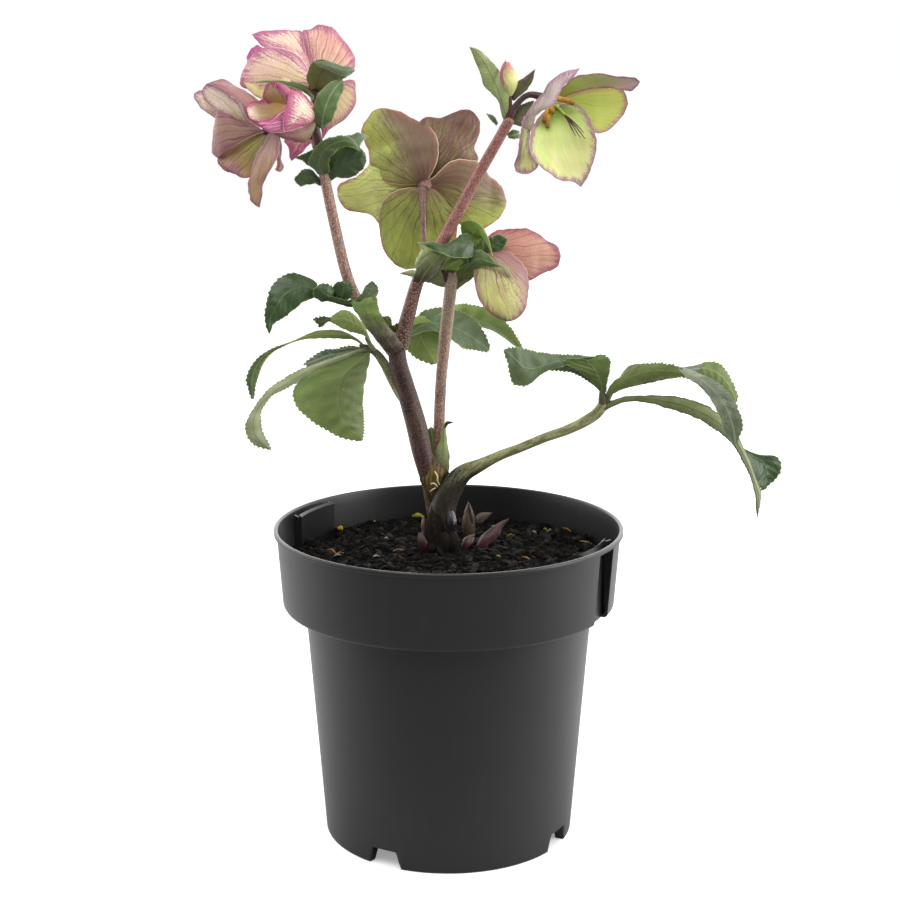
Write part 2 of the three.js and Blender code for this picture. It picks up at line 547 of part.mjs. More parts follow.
whorl("left_bracts", [
  { spine: [[-65, -2, 357], [-60, -8, 370], [-51, -12, 374], [-42, -14, 367]],
    face: [[0.1, 0.6, 0.8], [0.9, -0.4, 0.5]], cup: 25, halves: even("ovate", 10) },
  { spine: [[-66, -2, 359], [-71, -6, 364], [-76, -8, 364], [-80, -8, 360]], face: [-0.2, 0.8, 0.3], cup: 25,
    halves: even("ovate", 6) },
  { spine: [[-65, -4, 358], [-63, -10, 371], [-56, -14, 378], [-41, -16, 383]], face: [-0.2, -0.5, 0.8],
    cup: 40, halves: even("ovate", 9) },
  { spine: [[-64, -5, 364], [-71, -5, 371], [-75, -5, 373], [-80, -5, 373]], face: [-0.1, -0.5, 0.8], cup: 20,
    halves: even("ovate", 4) },
]);
sheetPiece("hood_bract", FINISH.bract, {
  spine: [[-69, 4, 395], [-68, -2, 408], [-63, -8, 417], [-48, -14, 416]],
  face: [0.2, 0.5, -0.8], cup: 35, halves: even("ovate", 10),
});
sheetPiece("oval_bract", FINISH.bract, {
  spine: [[-68, -8, 384], [-65, -14, 396], [-59, -15, 405], [-53, -12, 411]],
  face: [0.2, -0.9, 0.2], cup: 25, halves: [[2.5, 4, 5, 4, 2.5, 1], [4.5, 6.5, 7, 6, 4, 1.5]],
});
whorl("middle_bracts", [
  { spine: [[-15, 0, 309], [-9, -3, 317], [-4, -6, 322], [1, -9, 327]], face: [-0.6, 0.6, 0.3], cup: 75,
    halves: even("ovate", 10) },
  { spine: [[-13, -4, 315], [-10, -9, 326], [-2, -14, 329], [13, -18, 327]],
    face: [[-0.1, -0.4, 0.9], [-0.1, -0.9, 0.5]], cup: 10, halves: even("ovate", 7) },
]);
whorl("second_bracts", [
  { spine: [[2, 5, 310], [7, 2, 321], [11, 0, 330], [15, -4, 339]], face: [-0.3, 0.8, 0.3], cup: 25,
    halves: even("ovate", 9) },
  { spine: [[2, 4, 311], [11, -4, 319], [20, -8, 317], [33, -10, 310]], face: [0.1, -0.5, 0.9], cup: 20,
    halves: even("ovate", 7.5) },
  { spine: [[3, 6, 311], [12, 6, 318], [22, 6, 321], [31, 6, 329]], face: [-0.2, -0.7, 0.8], cup: 15,
    halves: even("ovate", 8) },
  { spine: [[1, 4, 309], [1, -2, 316], [6, -5, 321], [11, -6, 320]], face: [0.1, -0.6, 0.8], cup: 30,
    halves: even("ovate", 6) },
  { spine: [[2, 6, 307], [-8, 6, 310], [-16, 7, 311], [-25, 8, 310]], face: [-0.1, 0.7, -0.5], cup: 20,
    halves: even("ovate", 5) },
]);
sheetPiece("tall_bract", FINISH.bract, {
  spine: [[31, -13, 391], [26, -18, 405], [19, -20, 417], [11, -22, 427]],
  face: [0.8, -0.45, 0.4], cup: 45, halves: [[5, 7, 8, 6.5, 3.5, 1.5], [6, 8, 7.5, 6, 3.5, 1.5]],
});
whorl("tip_bracts", [
  { spine: [[31, -11, 391], [33, -12, 405], [37, -13, 410], [44, -14, 415]], face: [-0.5, 0.6, 0.5], cup: 40,
    halves: even("ovate", 4.5) },
  { spine: [[30, -10, 389], [34, -6, 394], [38, -5, 397], [44, -5, 400]], face: [-0.4, 0.7, 0.5], cup: 30,
    halves: even("ovate", 6) },
  { spine: [[30, -9, 390], [32, -6, 384], [35, -4, 382], [38, -2, 384]], face: [0, 0.6, 0.8], cup: 30,
    halves: even("ovate", 4) },
]);

// ---------------------------------------------------------------- cut pieces back by earlier neighbours
function boxesMeet(a, b) {
  return [0, 1, 2].every((k) => a.min[k] < b.max[k] && b.min[k] < a.max[k]);
}

function largest(solid) {
  const bodies = solid.decompose();
  return bodies.reduce((a, b) => (b.volume() > a.volume() ? b : a));
}

function meshOf(solid, name, material) {
  const { vertProperties, triVerts, numProp } = solid.getMesh();
  const positions = new Float32Array((vertProperties.length / numProp) * 3);
  for (let i = 0; i < positions.length; i++) {
    positions[i] = vertProperties[Math.floor(i / 3) * numProp + (i % 3)];
  }
  const geometry = new THREE.BufferGeometry();
  geometry.setAttribute("position", new THREE.BufferAttribute(positions, 3));
  geometry.setIndex(Array.from(triVerts));
  geometry.computeVertexNormals();
  const mesh = new THREE.Mesh(geometry, material);
  mesh.name = name;
  return mesh;
}

const hellebore = new THREE.Group();
hellebore.name = "hellebore_in_nursery_pot";
hellebore.position.x = POT_X;
const placed = [];
for (const { name, material, make } of nodes) {
  let solid = make(0);
  for (const { grown, box } of placed) {
    if (boxesMeet(solid.boundingBox(), box)) solid = solid.subtract(grown);
  }
  solid = largest(solid);
  hellebore.add(meshOf(solid, name, material));
  const grown = make(GAP);
  placed.push({ grown, box: grown.boundingBox() });
}

export default hellebore;
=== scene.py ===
# %% [markdown]
# # A hellebore in its nursery pot
#
# A young Lenten rose stands in a moulded pot: two flowering stems rise from a knobbly crown, and each
# leaf, bract and sepal is a thin sheet of living tissue. The construction is already fixed in a packed
# frame. This lesson loads that frame and gives each piece its fine shape and its finish, without
# moving anything.

# %% Load the frame
import math

import bmesh
import bpy
import numpy as np
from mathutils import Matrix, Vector, noise


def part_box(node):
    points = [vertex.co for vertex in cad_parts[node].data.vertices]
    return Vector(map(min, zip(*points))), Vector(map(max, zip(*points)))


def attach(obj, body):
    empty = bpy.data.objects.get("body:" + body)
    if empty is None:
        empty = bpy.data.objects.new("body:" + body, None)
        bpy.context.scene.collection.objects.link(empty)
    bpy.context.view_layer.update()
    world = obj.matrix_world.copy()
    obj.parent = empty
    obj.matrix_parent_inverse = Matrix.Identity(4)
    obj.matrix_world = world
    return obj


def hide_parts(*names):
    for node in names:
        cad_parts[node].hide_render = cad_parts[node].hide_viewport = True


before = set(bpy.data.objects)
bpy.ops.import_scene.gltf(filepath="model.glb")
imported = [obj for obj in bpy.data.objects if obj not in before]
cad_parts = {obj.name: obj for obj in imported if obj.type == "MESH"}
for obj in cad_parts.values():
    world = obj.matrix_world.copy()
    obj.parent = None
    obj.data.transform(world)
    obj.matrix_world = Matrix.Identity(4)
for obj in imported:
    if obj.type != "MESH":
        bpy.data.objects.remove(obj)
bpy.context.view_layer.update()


def put(name, data):
    """A new object in the scene that shows `data`."""
    thing = bpy.data.objects.new(name, data)
    bpy.context.scene.collection.objects.link(thing)
    return thing


print(len(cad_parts), "nodes in the frame")

# %% [markdown]
# The plant's places are written in millimetres from the middle of the pot's base, because a grower
# measures a plant that way. One function turns them into the frame's metres. It reads the pot's own
# box, so the plant follows the pot wherever the frame puts it.

# %% From plant millimetres to frame metres
MM = 0.001
pot_low, pot_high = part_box("nursery_pot")
POT_AXIS = np.array([(pot_low.x + pot_high.x) / 2, (pot_low.y + pot_high.y) / 2, pot_low.z])


def place(points):
    return np.asarray(points, float) * MM + POT_AXIS


print("pot axis at", POT_AXIS.round(4))

# %% [markdown]
# A plant portrait is taken with a longish lens from a little above the flowers' feet, so that the rim
# of the pot opens into an ellipse. The camera is set first, because everything after it is judged
# through it. The shift is a hair's breadth and only centres the pot.

# %% Camera
EYE, PITCH_DOWN = [0, -947, 425.4], 12.55
SENSOR_MM, LENS_MM, SHIFT = 36, 71.86, 0.0016
lens = bpy.data.cameras.new("camera")
lens.sensor_width, lens.lens, lens.shift_x = SENSOR_MM, LENS_MM, SHIFT
camera = put("camera", lens)
camera.location = place(EYE)
camera.rotation_euler = (math.radians(90 - PITCH_DOWN), 0, 0)
bpy.context.scene.camera = camera
print("camera at", camera.location)

# %% [markdown]
# Two small tools serve every finish. Colours are written as the sRGB hex values a painter would pick,
# and one function turns them into the linear light that the shader works in. The other function adds
# a shader node, sets it up, and fills or links its inputs. A finish is then a short chain of such
# calls, and no node needs a function of its own.

# %% Colour and node tools


def linear(code):
    channels = [int(code[i : i + 2], 16) / 255 for i in (1, 3, 5)]
    return [*(c / 12.92 if c <= 0.04045 else ((c + 0.055) / 1.055) ** 2.4 for c in channels), 1.0]


def add(tree, kind, inputs=None, **settings):
    """Adds a node. `kind` is its full name, or leaves out "ShaderNode"."""
    node = tree.nodes.new(kind if "Node" in kind else f"ShaderNode{kind}")
    for key, value in settings.items():
        setattr(node, key, value)
    for key, value in (inputs or {}).items():
        if isinstance(value, bpy.types.Node):
            value = next(socket for socket in value.outputs if socket.enabled)
        if isinstance(value, bpy.types.NodeSocket):
            tree.links.new(value, node.inputs[key])
        else:
            node.inputs[key].default_value = value
    return node


def new_finish(name):
    material = bpy.data.materials.new(name)
    material.use_nodes = True
    material.node_tree.nodes.clear()
    return material, material.node_tree


FACTOR, FIRST, SECOND = 0, 6, 7  # the colour inputs of a Mix node
print("a mid grey of #808080 is", round(linear("#808080")[0], 3), "in linear light")

# %% [markdown]
# The studio is a light table in a white room: the plant stands on white acrylic that glows a little, so
# its shadow stays soft and short. The room is not equally bright all round. Its ceiling, back and sides
# are white, and the side behind the camera is dim. That dim side, and a painted shade on the floor in
# front of the pot that only reflections and bounce light see, draw the long dark middle and the bright
# flanks on a satin pot. The camera itself sees plain white. A broad box above the flowers gives the
# leaves their sheen, and a tall one at the right the streak on the pot.

# %% Floor
FLOOR_HALF = 4.0
FLOOR_GLOW = 0.3
# The floor's painted shade, seen only in reflections and bounce light, brightens between these two depths.
DIM_TO_BRIGHT = -0.3, 0.15  # where the floor brightens, in metres behind the middle


def floor_finish():
    material, tree = new_finish("white acrylic light table")
    where = add(tree, "TexCoord").outputs["Object"]
    haze = add(tree, "TexNoise", {"Vector": where, "Scale": 40.0, "Detail": 3.0})
    white = add(tree, "Mix", {FACTOR: haze, FIRST: linear("#f6f6f6"), SECOND: linear("#fbfbfb")},
        data_type="RGBA")
    seen = add(tree, "LightPath").outputs["Is Camera Ray"]
    depth = add(tree, "SeparateXYZ", {0: where}).outputs["Y"]
    farther = add(tree, "MapRange", {0: depth, 1: DIM_TO_BRIGHT[0], 2: DIM_TO_BRIGHT[1]},
        interpolation_type="SMOOTHSTEP")
    # Every ray but the camera's sees the floor painted grey, darker in front of the pot than behind: a
    # painted shade that darkens reflections and bounce light.
    reflected_floor_shade = add(tree, "Mix", {FACTOR: farther, FIRST: linear("#949494"), SECOND: linear("#e4e4e4")},
        data_type="RGBA")
    tint = add(tree, "Mix", {FACTOR: seen, FIRST: reflected_floor_shade, SECOND: white}, data_type="RGBA")
    matt = add(tree, "BsdfDiffuse", {"Color": tint})
    lit = add(tree, "Emission", {"Color": linear("#ffffff"), "Strength": FLOOR_GLOW})
    table = add(tree, "AddShader", {0: matt, 1: lit})
    both = add(tree, "MixShader", {0: seen, 1: matt, 2: table})
    add(tree, "OutputMaterial", {"Surface": both})
    return material


floor_mesh = bpy.data.meshes.new("studio_floor")
floor_corners = [(x * FLOOR_HALF, y * FLOOR_HALF, 0) for x, y in ((-1, -1), (1, -1), (1, 1), (-1, 1))]
floor_mesh.from_pydata(floor_corners, [], [(0, 1, 2, 3)])
floor_mesh.materials.append(floor_finish())
floor = put("studio_floor", floor_mesh)
print("light table", 2 * FLOOR_HALF, "m wide")

# %% [markdown]
# Two area lights do the work of soft boxes, and the world does the work of the white room round them.
# The room's brightness is a function of direction, so no walls need to be built.

# %% Room and lights


def soft_light(name, spot, aim, size, watts):
    light = bpy.data.lights.new(name, "AREA")
    light.shape = "RECTANGLE"
    light.size, light.size_y = size
    light.energy = watts
    lamp = put(name, light)
    lamp.location = spot
    lamp.rotation_euler = (Vector(aim) - Vector(spot)).to_track_quat("-Z", "Y").to_euler()


def white_room(ceiling, back, dim, right_wall):
    """The room's brightness by direction: `back` behind the plant, `dim` behind the camera."""
    world = bpy.data.worlds.new("white_room")
    world.use_nodes = True
    tree = world.node_tree
    tree.nodes.clear()
    toward = add(tree, "SeparateXYZ", {0: add(tree, "TexCoord").outputs["Generated"]})
    wall = add(tree, "MapRange", {0: toward.outputs["Y"], 1: -0.8, 2: 0.3, 3: dim, 4: back},
        interpolation_type="SMOOTHSTEP")
    sided = add(tree, "Math", {0: toward.outputs["X"], 1: right_wall, 2: wall}, operation="MULTIPLY_ADD")
    height = add(tree, "MapRange", {0: toward.outputs["Z"], 1: 0.15, 2: 0.75},
        interpolation_type="SMOOTHSTEP")
    lit = add(tree, "Mix", {0: height, 2: sided, 3: ceiling}, data_type="FLOAT")
    glow = add(tree, "Background", {"Strength": lit})
    plain = add(tree, "Background", {"Strength": 1.0, "Color": (1, 1, 1, 1)})
    seen = add(tree, "LightPath").outputs["Is Camera Ray"]
    both = add(tree, "MixShader", {0: seen, 1: glow, 2: plain})
    glow.inputs["Color"].default_value = (1, 1, 1, 1)
    add(tree, "OutputWorld", {"Surface": both})
    return world


soft_light("overhead_softbox", spot=(-0.35, -0.85, 1.5), aim=(0, 0, 0.3), size=(1.1, 0.9), watts=12)
soft_light("right_softbox", spot=(1.25, -0.38, 0.6), aim=(0, 0, 0.15), size=(0.5, 1.2), watts=12)
bpy.context.scene.world = white_room(ceiling=0.9, back=3.6, dim=0.08, right_wall=0.3)
bpy.context.scene.view_settings.view_transform = "Standard"
print("white room and two soft boxes")

# %% [markdown]
# A stem, a leaf and a sepal all grow along a line. The line is a smooth curve through a few chosen
# points, walked at even steps, which gives the places and the directions of growth. A second helper
# eases a size between stations, so that a leaf swells and narrows without corners.

# %% Lines of growth


def unit(vectors):
    return vectors / np.maximum(np.linalg.norm(vectors, axis=-1, keepdims=True), 1e-9)


def growth_line(points, stops):
    """The curve through the points: `stops` is a number of even steps, or the fractions to stop at."""
    points = np.asarray(points, float)
    ends = [2 * points[0] - points[1], *points, 2 * points[-1] - points[-2]]
    steps = np.linspace(0, 1, 24)[:, None]
    fine = []
    for p0, p1, p2, p3 in zip(ends, ends[1:], ends[2:], ends[3:]):
        d0, d1, d2 = (max(np.linalg.norm(b - a) ** 0.5, 1e-4) for a, b in ((p0, p1), (p1, p2), (p2, p3)))
        out = ((p1 - p0) / d0 - (p2 - p0) / (d0 + d1) + (p2 - p1) / d1) * d1
        into = ((p2 - p1) / d1 - (p3 - p1) / (d1 + d2) + (p3 - p2) / d2) * d1
        fine.append(p1 + out * steps + (3 * (p2 - p1) - 2 * out - into) * steps**2
            + (2 * (p1 - p2) + out + into) * steps**3)
    fine = np.concatenate([fine[0], *(part[1:] for part in fine[1:])])
    walked = np.concatenate([[0], np.cumsum(np.linalg.norm(np.diff(fine, axis=0), axis=1))])
    at = walked[-1] * (np.linspace(0, 1, stops) if np.isscalar(stops) else stops)
    line = np.stack([np.interp(at, walked, fine[:, k]) for k in range(3)], axis=1)
    return line, unit(np.gradient(line, at, axis=0)), walked[-1]


def ease(stations, values, t):
    stations, values = np.asarray(stations, float), np.asarray(values, float)
    k = np.clip(np.searchsorted(stations, t, side="right") - 1, 0, len(stations) - 2)
    lo, hi = np.maximum(np.arange(len(values)) - 1, 0), np.minimum(np.arange(len(values)) + 1,
        len(values) - 1)
    slope = (values[hi] - values[lo]) / (stations[hi] - stations[lo])
    span = stations[k + 1] - stations[k]
    x = (t - stations[k]) / span
    return ((2 * x**3 - 3 * x**2 + 1) * values[k] + (x**3 - 2 * x**2 + x) * span * slope[k]
        + (3 * x**2 - 2 * x**3) * values[k + 1] + (x**3 - x**2) * span * slope[k + 1])


print("a test line of", round(growth_line([[0, 0, 0], [3, 4, 0], [6, 8, 0]], 9)[2], 2), "mm")

# %% [markdown]
# Every grown part carries four numbers at each point for its finish to read: how far `across` it lies
# (-1 to 1), how far `along` (0 at the base, 1 at the tip), its distance from the margin in millimetres
# (`rim_mm`), and how strongly it is `flush`ed with the second colour. A UV map in real millimetres
# gives the grain its size. Parts that belong to one piece are merged before the mesh is made.

# %% From parts to a piece
UV_SPAN = 100.0  # millimetres of tissue in one unit of the UV map
triangle_total = 0


def merge(parts):
    offset, points, faces, finishes = 0, [], [], []
    for part in parts:
        points.append(part["points"])
        faces += [tuple(i + offset for i in face) for face in part["faces"]]
        finishes += part["finishes"]
        offset += len(part["points"])
    joined = {"points": np.concatenate(points), "faces": faces, "finishes": finishes}
    for key in ("across", "along", "rim_mm", "flush", "grain"):
        joined[key] = np.concatenate([part[key] for part in parts])
    return joined


def stand_in(piece, slot, *nodes):
    global triangle_total
    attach(piece, "root")
    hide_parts(*nodes)
    triangles = sum(len(polygon.vertices) - 2 for polygon in piece.data.polygons)
    triangle_total += triangles
    print(f"{piece.name}: {triangles} triangles")


def grown_piece(name, parts, finishes, slot, node, sharp=60):
    joined = merge(parts)
    mesh = bpy.data.meshes.new(name)
    mesh.from_pydata(place(joined["points"]).tolist(), [], joined["faces"])
    for finish in finishes:
        mesh.materials.append(finish)
    mesh.polygons.foreach_set("material_index", joined["finishes"])
    for key in ("across", "along", "rim_mm", "flush"):
        mesh.attributes.new(key, "FLOAT", "POINT").data.foreach_set("value", joined[key].astype(np.float32))
    corner_points = np.zeros(len(mesh.loops), np.int32)
    mesh.loops.foreach_get("vertex_index", corner_points)
    layer = mesh.uv_layers.new(name="grain")
    layer.uv.foreach_set("vector", (joined["grain"][corner_points] / UV_SPAN).astype(np.float32).ravel())
    mesh.shade_smooth()
    mesh.set_sharp_from_angle(angle=math.radians(sharp))
    mesh.validate()
    piece = put(name, mesh)
    stand_in(piece, slot, node)
    return piece


# %% [markdown]
# Leaves and sepals are closed sheets, made on a grid of rows that run from one margin to the other. A
# sheet gets the habits of living tissue from one function: ripples at its free margin, shallow dents,
# quilting between the veins, a groove along the midrib, and the saw teeth of a leaf. Then it is given
# its thickness. A formula makes them finer and cheaper than sculpting, and every sheet gets its own.

# %% The habits of a sheet
HABIT = dict(seed=1, ruffle=0.0, waves=3, fray=0.25, dents=0.2, dent_mm=7.0, quilt=0.0, veins=9,
    pinnate=False, tooth=0.0, pitch=2.7, thick=0.5, keel=0.0, flush=(0, 0))


def ripple(t, seed, waves):
    random = np.random.default_rng(seed)
    total = np.zeros_like(t)
    for k in (0.6, 1.0, 1.7):
        total += np.sin(2 * math.pi * (waves * k * t + random.random())) / (0.6 + k)
    return total / 1.6


def crumple(x, y, size, seed):
    """An uneven surface between -1 and 1, whose dents are about `size` millimetres wide."""
    random = np.random.default_rng(seed)
    total = np.zeros_like(x)
    for _ in range(7):
        heading, pace = random.random() * math.pi, (0.6 + 0.9 * random.random()) * math.pi / size
        total += np.sin(pace * (x * math.cos(heading) + y * math.sin(heading)) + random.random() * 7)
    return total / 3.5


print("ripples and crumples are seeded, so each run gives the same leaf")

# %% Relief and teeth


def relief(h, v, t, half, length, x_mm, y_mm):
    """How far the surface rises: quilting between the veins, dents, the midrib's groove and ripples."""
    if h["pinnate"]:
        swell = 0.5 - 0.5 * np.cos(2 * math.pi * (y_mm - np.abs(x_mm) * 0.9) / (length / h["veins"]))
    else:
        swell = 0.5 - 0.5 * np.cos(math.pi * (v * h["veins"] + 1))
    room = np.minimum(half / 6, 1) * (1 - np.abs(v) ** 6)
    lift = h["quilt"] * swell * room * np.sin(math.pi * t) ** 0.4
    lift = lift + h["dents"] * crumple(x_mm, y_mm, h["dent_mm"], h["seed"] + 9) * np.minimum(half / 5, 1)
    lift = lift - h["keel"] * np.exp(-((x_mm / 1.4) ** 2)) * (1 - t)
    free = np.where(v > 0, ripple(t, h["seed"], h["waves"]), ripple(t, h["seed"] + 50, h["waves"]))
    return lift + h["ruffle"] * np.abs(v) ** 2.4 * free * np.minimum(t / 0.25, 1) * np.minimum(half / 4, 1)


def teeth(h, v, t, length):
    """How far the saw teeth stand out: each rises over four fifths of its pitch and drops over the rest."""
    beat = (t * length / h["pitch"]) % 1
    low_tooth, high_tooth = np.broadcast_to(h["tooth"], 2)
    height = np.where(v > 0, high_tooth, low_tooth) * np.where(beat < 0.8, beat / 0.8, (1 - beat) / 0.2)
    height = height * np.clip((np.abs(v) - 0.8) / 0.2, 0, 1) * np.clip((t - 0.16) / 0.12, 0, 1)
    return height * np.clip((1 - t) / 0.03, 0, 1)


steps_mm = np.arange(9.0)
print("dents across 9 mm:", crumple(steps_mm, steps_mm, 3, 1).round(1))

# %% [markdown]
# The sheet is then closed. Its back follows the face at the thickness of the tissue, thinning to the
# margin, and a strip of faces joins the two all round.

# %% Closing a sheet


def close_sheet(grid, **habit):
    """Gives the grid its habits, its back and its rim. The side that its normals face is the upper one."""
    h = {**HABIT, **habit}
    points, normal, v, t, half, length, x_mm, y_mm = (grid[key] for key in (
        "points", "normal", "v", "t", "half", "length", "x_mm", "y_mm"))
    points = points + normal * relief(h, v, t, half, length, x_mm, y_mm)[..., None]
    frayed = h["fray"] * crumple(t * length, v * 4, 2.6, h["seed"] + 3)
    frayed = frayed * np.abs(v) ** 3 * np.minimum(half / 3, 1)
    points = points + grid["outward"] * (np.sign(v) * frayed)[..., None]
    if np.any(h["tooth"]):
        height = teeth(h, v, t, length)
        points = points + grid["outward"] * (np.sign(v) * height)[..., None]
        points = points + grid["onward"] * (0.6 * height)[..., None]
    back = points - normal * (h["thick"] * (1 - 0.55 * np.abs(v) ** 6))[..., None]
    rows, columns = v.shape
    index = np.arange(rows * columns).reshape(rows, columns)
    under = index + rows * columns
    a, b, c, d = index[:-1, :-1], index[:-1, 1:], index[1:, 1:], index[1:, :-1]
    upper = np.stack([a, b, c, d], -1).reshape(-1, 4)
    lower = np.stack([a, d, c, b], -1).reshape(-1, 4) + rows * columns
    rim = np.concatenate([
        np.stack([index[:-1, -1], under[:-1, -1], under[1:, -1], index[1:, -1]], -1),
        np.stack([index[:-1, 0], index[1:, 0], under[1:, 0], under[:-1, 0]], -1),
        np.stack([index[0, :-1], under[0, :-1], under[0, 1:], index[0, 1:]], -1),
        np.stack([index[-1, :-1], index[-1, 1:], under[-1, 1:], under[-1, :-1]], -1)])
    if grid["left_handed"]:
        upper, lower, rim = upper[:, ::-1], lower[:, ::-1], rim[:, ::-1]
    flush = h["flush"]
    flushed = flush[0] + (flush[1] - flush[0]) * t
    if len(flush) == 4:
        flushed = flushed + flush[2] * v + flush[3] * v * t
    margin = np.concatenate([points[2:, 0], points[2:, -1]])
    flat = points.reshape(-1, 1, 3)
    rim_mm = np.sqrt(((flat - margin[None]) ** 2).sum(-1).min(1)).reshape(rows, columns)
    twice = lambda values: np.concatenate([np.broadcast_to(values, v.shape).ravel()] * 2)
    return {
        "points": np.concatenate([points.reshape(-1, 3), back.reshape(-1, 3)]),
        "faces": [tuple(face) for face in np.concatenate([upper, lower, rim]).tolist()],
        "finishes": [0] * len(upper) + [1] * len(lower) + [1] * len(rim),
        "across": twice(v), "along": twice(t), "rim_mm": twice(rim_mm),
        "flush": twice(np.clip(flushed, 0, 1)),
        "grain": np.stack([twice(x_mm), twice(y_mm)], axis=1),
    }


print(len(HABIT), "habits of a sheet")

# %% [markdown]
# There are two ways to lay the grid. A narrow leaf follows its midrib, so `sheet` takes a spine, the
# half-width at its widest and the angle that each half is bent up by, as a hand cups water.

# %% A sheet along its midrib
STATIONS = [0, 0.12, 0.3, 0.5, 0.7, 0.86, 0.95, 1]
TIP_PART = 0.07  # the part of the length where the tip rounds off
TIP_HALF = 0.15  # no margin comes closer to the midrib, in millimetres
LEAF_OUTLINE = [0.32, 0.72, 0.98, 0.95, 0.6, 0.3]  # half-widths along the leaf, as parts of the widest


def blended(values, t):
    values = np.asarray(values, float)
    if values.ndim == 1:
        values = np.stack([values, values])
    stops = np.linspace(0, 1, len(values))
    return np.stack([np.interp(t, stops, values[:, k]) for k in range(values.shape[1])], axis=1)


def crowded(columns):
    """Places from -1 to 1 that crowd together towards both ends, where a margin curls."""
    even_steps = np.linspace(-1, 1, columns)
    return 0.35 * np.sin(even_steps * math.pi / 2) + 0.65 * even_steps


def sheet(spine, face, cup, widest, columns=25, **habit):
    """A leaf along `spine`, whose upper side looks towards `face`. `cup` bends each half up, in degrees."""
    length = growth_line(spine, 40)[2]
    rows = 5 * int(length / habit["pitch"]) + 1 if np.any(habit.get("tooth", 0)) else int(length / 1.25) + 8
    t = np.linspace(0, 1, rows)
    round_off = 1 - TIP_PART + TIP_PART * np.sin(np.linspace(0, math.pi / 2, 9))
    t = np.concatenate([t[t < 0.996 - TIP_PART], round_off])
    centre, along, _ = growth_line(spine, t)
    up = blended(face, t)
    up = unit(up - along * np.sum(up * along, axis=1, keepdims=True))
    side = np.cross(along, up)
    bend = np.full((len(t), 1), math.radians(cup))
    v = np.broadcast_to(crowded(columns)[None, :], (len(t), columns))
    cap = np.sqrt(1 - (np.clip(t - 1 + TIP_PART, 0, 1) / TIP_PART) ** 2)
    halves = [part * widest for part in LEAF_OUTLINE]
    half = ease(STATIONS, [halves[0] * 0.45, *halves, halves[-1] * 0.85], t) * cap
    half = np.broadcast_to(np.maximum(half, TIP_HALF)[:, None], v.shape)
    turn = bend * v
    outward = side[:, None, :] * np.cos(turn)[..., None] + up[:, None, :] * np.sin(turn)[..., None]
    normal = up[:, None, :] * np.cos(turn)[..., None] - side[:, None, :] * np.sin(turn)[..., None]
    reach = half / bend
    points = (centre[:, None, :] + side[:, None, :] * (reach * np.sin(turn))[..., None]
        + up[:, None, :] * (reach * (1 - np.cos(turn)))[..., None])
    tt = np.broadcast_to(t[:, None], v.shape)
    onward = np.broadcast_to(along[:, None, :], points.shape)
    grid = dict(points=points, normal=normal, outward=outward, onward=onward, v=v, t=tt, half=half)
    return close_sheet({**grid, "length": length, "x_mm": v * half, "y_mm": tt * length,
        "left_handed": False}, **habit)


test_sheet = sheet([[0, 0, 0], [0, 0, 30]], [0, -1, 0], 20, 10)
print("a test sheet of", len(test_sheet["faces"]), "faces")

# %% [markdown]
# A broad sepal is known by its outline, so `spread` takes its two margins, from base to tip, and domes
# the surface between them. An outline is written as a line of points, "x y z, x y z", and the tip, where
# both margins meet, is written once.

# %% A sheet between its margins


def outline(text):
    """Points written as "x y z, x y z"."""
    return [[float(number) for number in point.split()] for point in text.split(",")]


def blade(left, right, dome, tip=None, **habit):
    """The two margins of a broad sheet. The right one ends in the left one's tip, unless it has its own."""
    left = outline(left)
    return dict(left=left, right=outline(right) + [tip or left[-1]], dome=dome, **habit)


print("an outline of", len(outline("0 0 0, 5 0 9")), "points")

# %% Dome the sheet between them


